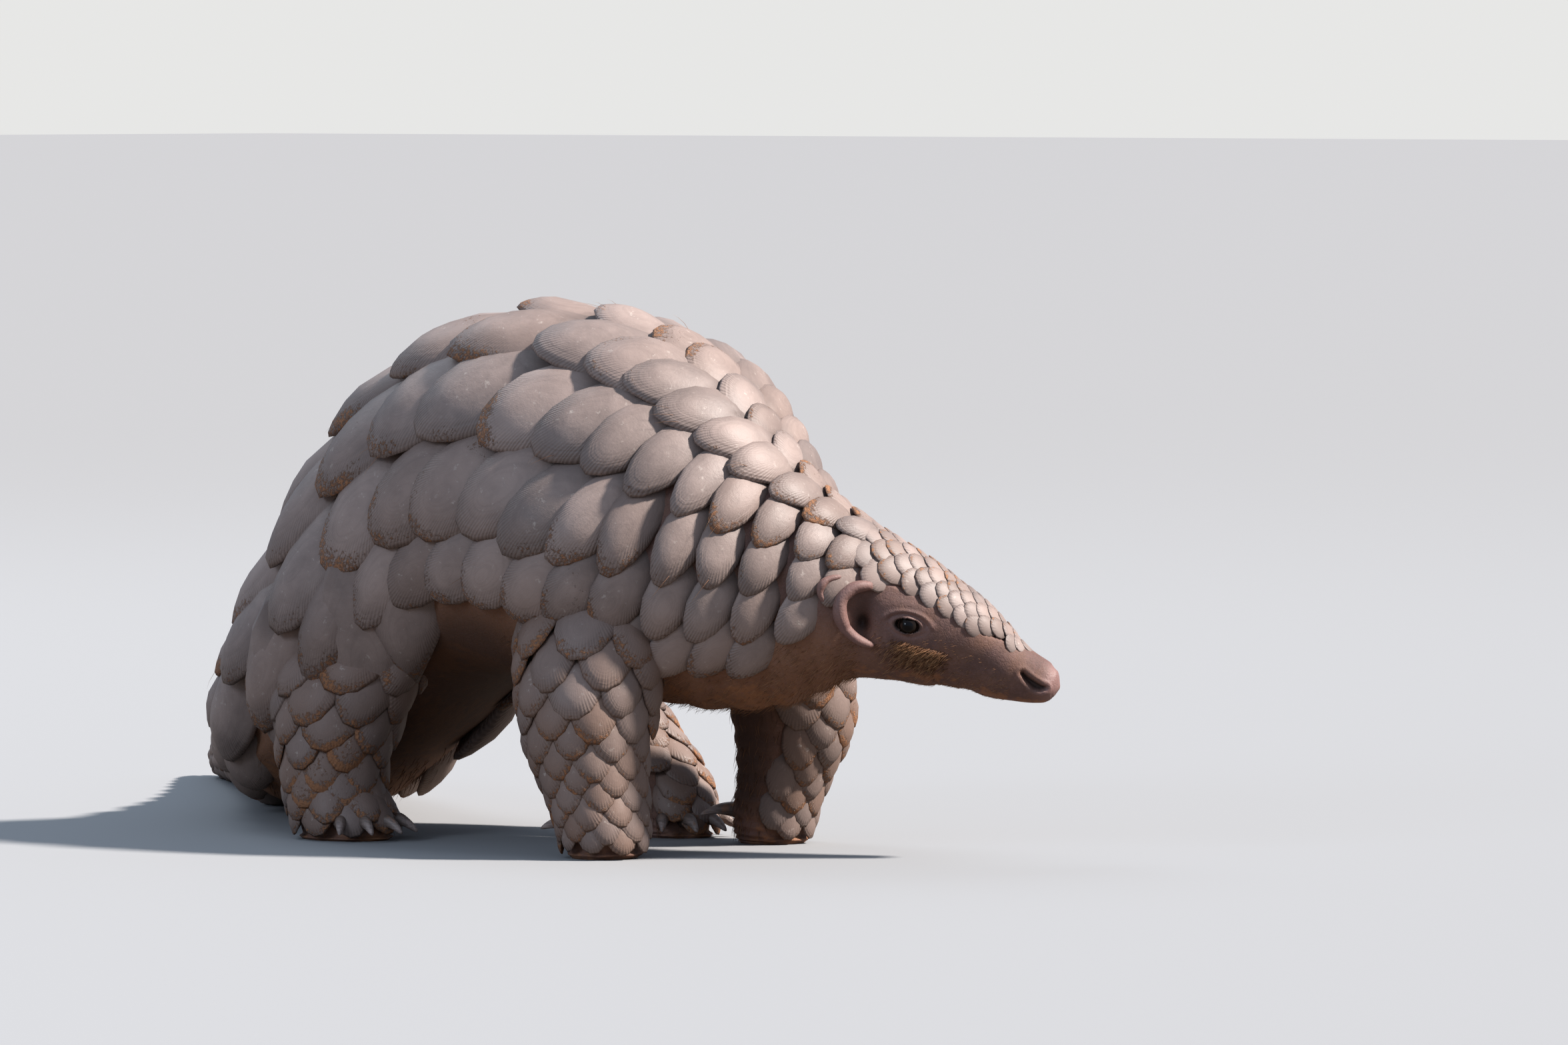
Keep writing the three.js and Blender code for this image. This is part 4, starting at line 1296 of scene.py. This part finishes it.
def set_forms(name, rows, tree_name, values):
    """A piece of the forms that a tree sets on points, from the points' rows of attributes."""
    attributes = {key: [row[key] for row in rows] for key in rows[0]}
    attributes["at"] = place(attributes["at"])
    cloud = add_mesh(name + "_points", attributes["at"], [], attributes)
    modifier = cloud.modifiers.new("forms", "NODES")
    modifier.node_group = bpy.data.node_groups[tree_name]
    for key, value in values.items():
        set_input(modifier, key, value)
    mesh = evaluated_mesh(cloud)
    bpy.data.objects.remove(cloud)
    mesh.name = name
    piece = bpy.data.objects.new(name, mesh)
    bpy.context.scene.collection.objects.link(piece)
    keep_above_floor(piece)
    for key in attributes:
        if key != "size":
            mesh.attributes.remove(mesh.attributes[key])
    return piece


def set_scales(name, rows, material, word="small", dome_share=1.0):
    """A piece of scales from their rows of attributes."""
    settings = bpy.context.scene.pangolin_scales
    # The unwrap fills the piece's own square, and a patch is a little smaller than a cell
    cell = 0.62 / math.sqrt(len(rows))
    roots = np.array([row["root"] for row in rows])
    low, high = roots.min(0), roots.max(0)
    for row, root in zip(rows, 0.06 + 0.88 * (roots - low) / np.maximum(high - low, 1e-6)):
        row["root"] = (*root, 0.0)
    piece = set_forms(name, rows, "Set scales", {
        "Form": bpy.data.objects[f"scale_form_{word}"],
        "Slope": settings.slope,
        "Depth": settings.depth,
        "Thickness": settings.thickness,
        "Dome": settings.dome * dome_share,
        "Wobble": settings.wobble,
        "Seed": float(settings.seed),
        "Patch": (0.5 * cell, cell, 0.0),
        "Material": material,
    })
    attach(piece, "root")


# Hair

# Patches of hair on the body: how many on each side, whether they thin out all round, the stretch
# along the body and the angles down each side, how far the hairs turn from tailward to down, how
# they stand, their length and half width in mm, and their tone
HAIR_PATCHES = {
    "hair_face": [
        {
            "count": 1100, "t": (6.0, 7.9), "v": (101, 137), "round": True, "turn": 45, "stand": 42,
            "length": (3.4, 5.4), "half": 0.16, "tone": (0.1, 0.9),
        },
        {
            "count": 1300, "t": (3.2, 9.2), "v": (98, 180), "round": False, "turn": 25, "stand": 30,
            "length": (1.4, 2.6), "half": 0.07, "tone": (0.35, 1.0),
        },
    ],
    "hair_throat": [
        {
            "count": 900, "t": (8.6, 12.2), "v": (118, 180), "round": False, "turn": 30, "stand": 34,
            "length": (4.0, 7.5), "half": 0.09, "tone": (0.2, 0.9),
        },
        {
            "count": 700, "t": (12.2, 20.0), "v": (128, 180), "round": False, "turn": 20, "stand": 34,
            "length": (6.0, 11.0), "half": 0.12, "tone": (0.0, 0.6),
        },
    ],
}
# The same on the inner side of each leg, which starts at a place and ends short of the sole
LEG_HAIR = {
    "count": 420, "start": 0.8, "short": 1.2, "reach": 58, "stand": 30, "length": (5.0, 8.0), "half": 0.13,
}
# The share of scales that have bristles, and a bristle's length and half width in mm
BRISTLES = {"share": 0.4, "length": (9, 16), "half": 0.10}


def hair_row(at, way, out, half, length, tone, root):
    """Attributes of one hair."""
    across = unit(np.cross(way, out))
    return {
        "at": at, "way": way, "across": across, "out": np.cross(across, way),
        "size": (half, length, tone), "root": root,
    }


def span(ends, share):
    """The value at a share from -1 to 1 of the way between two ends."""
    return (ends[0] + ends[1]) / 2 + share * (ends[1] - ends[0]) / 2


def body_hairs(patch, draw):
    """Rows of attributes of one patch of hair on both sides of the body."""
    rows, t, v = [], [], []
    while len(t) < 2 * patch["count"]:
        a, b = jitter(draw, 1), jitter(draw, 1)
        if patch["round"]:
            # Thickest under the eye and thinning out all round
            a, b = draw.gauss(0.0, 0.5), -0.55 + abs(draw.gauss(0.0, 0.62))
        side = draw.choice((-1, 1))
        t.append(span(patch["t"], a))
        v.append(side * math.radians(span(patch["v"], b)))
    t, v = np.array(t), np.array(v)
    rise, out, masks = head_relief(t, v)
    _, way, turn, _ = surface_axes(TRUNK, t, v)
    at = TRUNK.point(t, v, -0.6) + out * rise[:, None]
    bare = (masks["dark"] <= 0.3) & (covered(t, v) <= 0.6)
    for i in np.flatnonzero(bare):
        down = math.radians(patch["turn"] + jitter(draw, 22))
        stand = math.radians(patch["stand"] + jitter(draw, 14))
        flat = way[i] * math.cos(down) + turn[i] * math.copysign(math.sin(down), v[i])
        lie = unit(flat * math.cos(stand) + out[i] * math.sin(stand))
        tone = draw.uniform(*patch["tone"])
        rows.append(hair_row(
            at[i], lie, out[i], patch["half"] * draw.uniform(0.8, 1.3), draw.uniform(*patch["length"]), tone,
            (v[i] / math.tau + 0.5, t[i] / 27, 0)))
    return rows


def leg_hairs(name, draw):
    """Rows of attributes of the hair on the inner side of one leg."""
    leg = LIMBS[name]
    last = len(leg.table) - 1
    rows = []
    for _ in range(LEG_HAIR["count"]):
        t = draw.uniform(LEG_HAIR["start"], last - LEG_HAIR["short"])
        v = leg.middle + math.pi + math.radians(jitter(draw, LEG_HAIR["reach"]))
        at, way, turn, out = axes_at(leg, t, v)
        stand = math.radians(LEG_HAIR["stand"] + jitter(draw, 12))
        flat = unit(way + turn * jitter(draw, 0.4))
        lie = unit(flat * math.cos(stand) + out * math.sin(stand))
        rows.append(hair_row(
            at - out, lie, out, LEG_HAIR["half"], draw.uniform(*LEG_HAIR["length"]), draw.uniform(0, 0.5),
            (v / math.tau % 1, t / last, 0)))
    return rows


def bristles(scales, draw):
    """Rows of attributes of the long bristles that come out between the scales."""
    rows = []
    for scale in scales:
        if draw.random() > BRISTLES["share"]:
            continue
        for _ in range(draw.choice((1, 2, 3))):
            length = scale["size"][1]
            aside = jitter(draw, 0.5) * scale["size"][0]
            way, across, out = scale["way"], scale["across"], scale["out"]
            at = scale["at"] + way * 0.26 * length + across * aside + out * 2.5
            lie = unit(way + out * draw.uniform(0.3, 0.55) + across * jitter(draw, 0.3))
            root = scale["root"]
            rows.append(hair_row(
                at, lie, out, BRISTLES["half"], draw.uniform(*BRISTLES["length"]), draw.uniform(0.4, 1),
                (root[0], root[1] / 27, 0)))
    return rows


def set_hairs(name, rows, material):
    """A piece of hair from its rows of attributes."""
    form = bpy.data.objects["hair_form"]
    piece = set_forms(name, rows, "Set hairs", {
        "Form": form, "Curl": 0.3, "Patch": (0.003, 0.003, 0.0), "Material": material,
    })
    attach(piece, "root")


# Eyes, ears and claws

SIDES = (("right", -1), ("left", 1))


def build_eyes(material):
    """Both eyeballs with a slightly domed cornea."""
    head = bpy.context.scene.pangolin_head
    theta = np.linspace(0.03, math.pi - 0.03, 26)
    radii = head.eye_radius / MM + 0.45 * smooth(0.75, 0.1, theta)
    iris = np.clip(np.repeat(theta[:, None] / 1.2, 40, axis=1), 0, 1)
    for word, side in SIDES:
        spot = EYE[0], side * math.radians(EYE[1])
        _, way, _, out = axes_at(TRUNK, *spot)
        line = TRUNK.point(*spot, -head.eye_depth / MM) + out * (radii * np.cos(theta))[:, None]
        rings = rings_round(line, radii * np.sin(theta), way, np.cross(out, way), 40)
        eye = add_tube(f"eyeball_{word}", rings, {"iris": iris})
        eye.data.materials.append(material)
        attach(eye, "root")
        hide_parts(f"eye_{word}")


def build_ears(material):
    """Each ear is a thick crescent rim with a second, lower fold above and behind it."""
    thick = bpy.context.scene.pangolin_head.ear_thickness / MM
    s = np.linspace(0, 1, 40)
    for word, side in SIDES:
        folds = []
        for fold, (path, size, lift) in enumerate(((EAR_RIM, 1.0, 2.0), (EAR_FOLD, 0.62, 1.0))):
            spot = stations_at(np.array(path, float), s * (len(path) - 1))
            at, _, _, out = surface_axes(TRUNK, spot[:, 0], side * np.radians(spot[:, 1]))
            spine = at + out * (lift * np.sin(math.pi * s) ** 0.5 * thick / 2.2)[:, None]
            cup = unit(np.cross(unit(np.gradient(spine, axis=0)), out))
            radii = thick * size * np.maximum(np.sin(math.pi * (0.05 + 0.9 * s)), 0.08) ** 0.45
            radii = radii * (1.15 - 0.35 * s) * (1 + 0.07 * np.sin(s * 15 + fold))
            rings = rings_round(spine, radii, 0.95 * cup, 1.25 * out)
            masks = {key: np.zeros(rings.shape[:2]) for key in ("dark", "warm", "dust")}
            masks["pink"] = np.full(rings.shape[:2], 0.7)
            folds.append(add_tube(f"ear_fold_{fold}", rings, masks))
        ear = join(folds, f"ear_rim_{word}")
        ear.data.materials.append(material)
        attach(ear, "root")
        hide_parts(f"ear_{word}")


def claw_rings(line, radii, flatten):
    """Rings of one claw round its line, rounded above and grooved below."""
    forward = unit(np.gradient(line, axis=0))
    side = unit(np.cross(forward, np.array([0, 0, 1.0])))
    rings = rings_round(
        line, radii, flatten * side, np.cross(side, forward),
        shape=lambda a: 1 - 0.28 * hill(a, 1.5 * math.pi, 0.5))
    rings[..., 2] = np.maximum(rings[..., 2], 0.2)
    return rings


def build_claws(material):
    """Claws folded back under the forefeet, and short nails on the hind feet."""
    s = np.linspace(0, 1, 22)
    for name, leg in LIMBS.items():
        x, y, z, length, width = leg.table[-2]
        rods = []
        if name.startswith("fore"):
            for across, reach in ((-10, 24), (0, 29), (10, 22)):
                line = (
                    x - 6 - reach * s,
                    y + across * (1 + 0.15 * s) - leg.side * 3 * s,
                    13.5 + 3 * np.sin(math.pi * s * 0.8) - 3.5 * s,
                )
                rods.append((line, 4.2 * (1 - s) ** 0.7 + 0.45, 0.8))
        else:
            for turn in np.radians([-62, -32, 0, 32, 62]):
                line = (
                    x + (length - 5 + 15 * s) * math.cos(turn * 0.9),
                    y + (width - 4 + 11 * s) * math.sin(turn),
                    z + 5 + 2.5 * np.sin(math.pi * s) - 4.2 * s,
                )
                rods.append((line, 3.6 * (1 - s) ** 0.6 + 0.4, 0.9))
        claws = []
        for i, (line, radii, flatten) in enumerate(rods):
            rings = claw_rings(np.stack(line, axis=-1), radii, flatten)
            reach = np.repeat(s[:, None], rings.shape[1], axis=1)
            claws.append(add_tube(f"claw_{i}", rings, {"reach": reach}))
        count = len(claws)
        piece = join(claws, f"claws_{name}")
        piece.data.materials.append(material)
        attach(piece, "root")
        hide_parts(*[f"claw_{name}_{i + 1}" for i in range(count)])


# Stage

FLOOR_HALF = 40.0
SUN_COLOUR = (1.0, 0.92, 0.86)
SKY_COLOUR = (0.66, 0.79, 1.0, 1)
BACKDROP_COLOUR = (0.80, 0.80, 0.79, 1)


def add_facing(data, aim, where):
    """A light or camera that stands off from the aim and faces it."""
    thing = bpy.data.objects.new(data.name, data)
    bpy.context.scene.collection.objects.link(thing)
    thing.location = aim + where
    thing.rotation_mode = "QUATERNION"
    thing.rotation_quaternion = (-where).to_track_quat("-Z", "Y")
    return thing


def build_world(strength):
    """Bluish light of the sky, behind which the camera sees pale grey."""
    world = bpy.data.worlds.new("studio")
    world.use_nodes = True
    tree = world.node_tree
    lit = tree.nodes["Background"]
    fill(lit, {"Color": SKY_COLOUR, "Strength": strength})
    seen = add_value(tree, "ShaderNodeBackground", {"Color": BACKDROP_COLOUR, "Strength": 1.0})
    camera_ray = add_value(tree, "ShaderNodeLightPath", result="Is Camera Ray")
    both = {0: camera_ray, 1: Value(lit.outputs[0]), 2: seen}
    fill(tree.nodes["World Output"], {"Surface": add_value(tree, "ShaderNodeMixShader", both)})
    return world


# Operators


def shared_skin_material():
    """The skin's material, made once."""
    return bpy.data.materials.get("bare skin") or skin_material()


class PANGOLIN_OT_effects(bpy.types.Operator):
    """Build the node groups that several pieces share"""

    bl_idname = "pangolin.effects"
    bl_label = "Shared effects"

    def execute(self, context):
        build_soil_group()
        build_wrinkle_group()
        build_striation_group()
        build_scale_tree()
        build_hair_tree()
        hair_template()
        for word, (segments, rings) in SCALE_FORMS.items():
            scale_template(word, segments, rings)
        return {"FINISHED"}


class PANGOLIN_OT_skin(bpy.types.Operator):
    """Make the skin of body and legs"""

    bl_idname = "pangolin.skin"
    bl_label = "Skin"

    def execute(self, context):
        skin = build_skin()
        skin.data.materials.clear()
        skin.data.materials.append(shared_skin_material())
        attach(skin, "root")
        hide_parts("head", "neck", "torso", "tail_base", "tail_middle", "tail_tip", *LEGS)
        return {"FINISHED"}


class PANGOLIN_OT_body_scales(bpy.types.Operator):
    """Set the scales of head, trunk and tail"""

    bl_idname = "pangolin.body_scales"
    bl_label = "Scales of head, trunk and tail"

    def execute(self, context):
        draw = random.Random(context.scene.pangolin_scales.seed)
        crown = scale_points(TRUNK, CROWN_FIELD, draw)
        body = scale_points(TRUNK, TRUNK_FIELD, draw)
        trunk = [row for row in body if row["root"][1] < TAIL_START]
        tail = [row for row in body if row["root"][1] >= TAIL_START]
        set_scales("scales_head", crown, horn_material("head horn", 0.15, 0.0003), "small", 0.5)
        horn = horn_material("body horn", 0.22)
        set_scales("scales_trunk", trunk, horn, "large")
        set_scales("scales_tail", tail, horn, "large")
        return {"FINISHED"}


class PANGOLIN_OT_leg_scales(bpy.types.Operator):
    """Set the scales of the four legs"""

    bl_idname = "pangolin.leg_scales"
    bl_label = "Scales of the legs"

    def execute(self, context):
        draw = random.Random(context.scene.pangolin_scales.seed + 1)
        horn = horn_material("leg horn", 0.30, 0.0006, 0.7, 0.45)
        for name, leg in LIMBS.items():
            sizes = LEG_SCALES[name[:4]]
            last = len(leg.table) - 1
            field = {**LEG_FIELD, **sizes, "end": last - sizes["short"], "last": last - 0.1}
            set_scales(f"scales_{name}", scale_points(leg, field, draw), horn)
        return {"FINISHED"}


class PANGOLIN_OT_hair(bpy.types.Operator):
    """Set the hair of face, throat, belly and legs, and the bristles between the scales"""

    bl_idname = "pangolin.hair"
    bl_label = "Hair"

    def execute(self, context):
        seed = context.scene.pangolin_scales.seed
        draw = random.Random(seed + 2)
        material = hair_material()
        for name, patches in HAIR_PATCHES.items():
            set_hairs(name, [row for patch in patches for row in body_hairs(patch, draw)], material)
        set_hairs("hair_legs", [row for name in LIMBS for row in leg_hairs(name, draw)], material)
        scales = scale_points(TRUNK, TRUNK_FIELD, random.Random(seed))
        shown = [scale for scale in scales if 10.5 < scale["root"][1] < 20]
        set_hairs("bristles", bristles(shown, draw), material)
        return {"FINISHED"}


class PANGOLIN_OT_eyes(bpy.types.Operator):
    """Make both eyes"""

    bl_idname = "pangolin.eyes"
    bl_label = "Eyes"

    def execute(self, context):
        build_eyes(eye_material())
        return {"FINISHED"}


class PANGOLIN_OT_ears(bpy.types.Operator):
    """Make both ears"""

    bl_idname = "pangolin.ears"
    bl_label = "Ears"

    def execute(self, context):
        build_ears(shared_skin_material())
        return {"FINISHED"}


class PANGOLIN_OT_claws(bpy.types.Operator):
    """Make the claws of all four feet"""

    bl_idname = "pangolin.claws"
    bl_label = "Claws"

    def execute(self, context):
        build_claws(claw_material())
        return {"FINISHED"}


class PANGOLIN_OT_stage(bpy.types.Operator):
    """Set the floor, the lights and the camera"""

    bl_idname = "pangolin.stage"
    bl_label = "Stage"

    def execute(self, context):
        stage = context.scene.pangolin_stage
        corners = [(x * FLOOR_HALF, y * FLOOR_HALF, 0) for x, y in ((-1, -1), (1, -1), (1, 1), (-1, 1))]
        floor = add_mesh("floor", corners, [(0, 1, 2, 3)], {})
        floor.data.materials.append(floor_material())
        aim = Vector(stage.aim) + Vector(frame_shift() * MM)
        flat = math.cos(stage.elevation)
        back = Vector((
            math.sin(stage.azimuth) * flat, -math.cos(stage.azimuth) * flat, math.sin(stage.elevation)))
        right = Vector((math.cos(stage.azimuth), math.sin(stage.azimuth), 0))
        up = Vector((0, 0, 1))
        lens = bpy.data.cameras.new("camera")
        lens.lens = lens.sensor_width * stage.distance / stage.view_width
        lens.clip_end = 200.0
        context.scene.camera = add_facing(lens, aim, back * stage.distance)
        sun = bpy.data.lights.new("sun", "SUN")
        sun.energy = stage.sun
        sun.angle = 0.09
        sun.color = SUN_COLOUR
        add_facing(sun, aim, right * 1.0 + back * 0.18 + up * 1.0)
        for name, where, size, power, colour in (
            ("fill", right * -2.2 + back * 2.0 + up * 1.2, 1.0, 20, (0.72, 0.83, 1.0)),
            ("rim", right * -1.4 - back * 2.0 + up * 2.4, 1.6, 24, (0.80, 0.90, 1.0)),
        ):
            lamp = bpy.data.lights.new(name, "AREA")
            lamp.size = size
            lamp.energy = power
            lamp.color = colour
            add_facing(lamp, aim, where)
        context.scene.world = build_world(stage.ambient)
        context.scene.view_settings.view_transform = "Standard"
        return {"FINISHED"}


OPERATORS = [
    PANGOLIN_OT_effects,
    PANGOLIN_OT_skin,
    PANGOLIN_OT_body_scales,
    PANGOLIN_OT_leg_scales,
    PANGOLIN_OT_hair,
    PANGOLIN_OT_eyes,
    PANGOLIN_OT_ears,
    PANGOLIN_OT_claws,
    PANGOLIN_OT_stage,
]


class PANGOLIN_PT_panel(bpy.types.Panel):
    """Lists the pangolin's pieces and sizes"""

    bl_idname = "PANGOLIN_PT_panel"
    bl_label = "Pangolin"
    bl_space_type = "VIEW_3D"
    bl_region_type = "UI"
    bl_category = "Pangolin"

    def draw(self, context):
        for operator in OPERATORS:
            self.layout.operator(operator.bl_idname)
        for name, group in SETTINGS.items():
            box = self.layout.box()
            for key in group.__annotations__:
                box.prop(getattr(context.scene, name), key)


def register():
    for group in SETTINGS.values():
        bpy.utils.register_class(group)
    for name, group in SETTINGS.items():
        setattr(bpy.types.Scene, name, bpy.props.PointerProperty(type=group))
    for operator in OPERATORS:
        bpy.utils.register_class(operator)
    bpy.utils.register_class(PANGOLIN_PT_panel)


def unregister():
    bpy.utils.unregister_class(PANGOLIN_PT_panel)
    for operator in reversed(OPERATORS):
        bpy.utils.unregister_class(operator)
    for name in SETTINGS:
        delattr(bpy.types.Scene, name)
    for group in SETTINGS.values():
        bpy.utils.unregister_class(group)


def main():
    """Makes every piece in order."""
    register()
    bpy.ops.pangolin.effects()
    bpy.ops.pangolin.skin()
    bpy.ops.pangolin.body_scales()
    bpy.ops.pangolin.leg_scales()
    bpy.ops.pangolin.hair()
    bpy.ops.pangolin.eyes()
    bpy.ops.pangolin.ears()
    bpy.ops.pangolin.claws()
    bpy.ops.pangolin.stage()
    for name in ("hair_form", *(f"scale_form_{word}" for word in SCALE_FORMS)):
        bpy.data.objects.remove(bpy.data.objects[name])


if __name__ == "__main__":
    main()
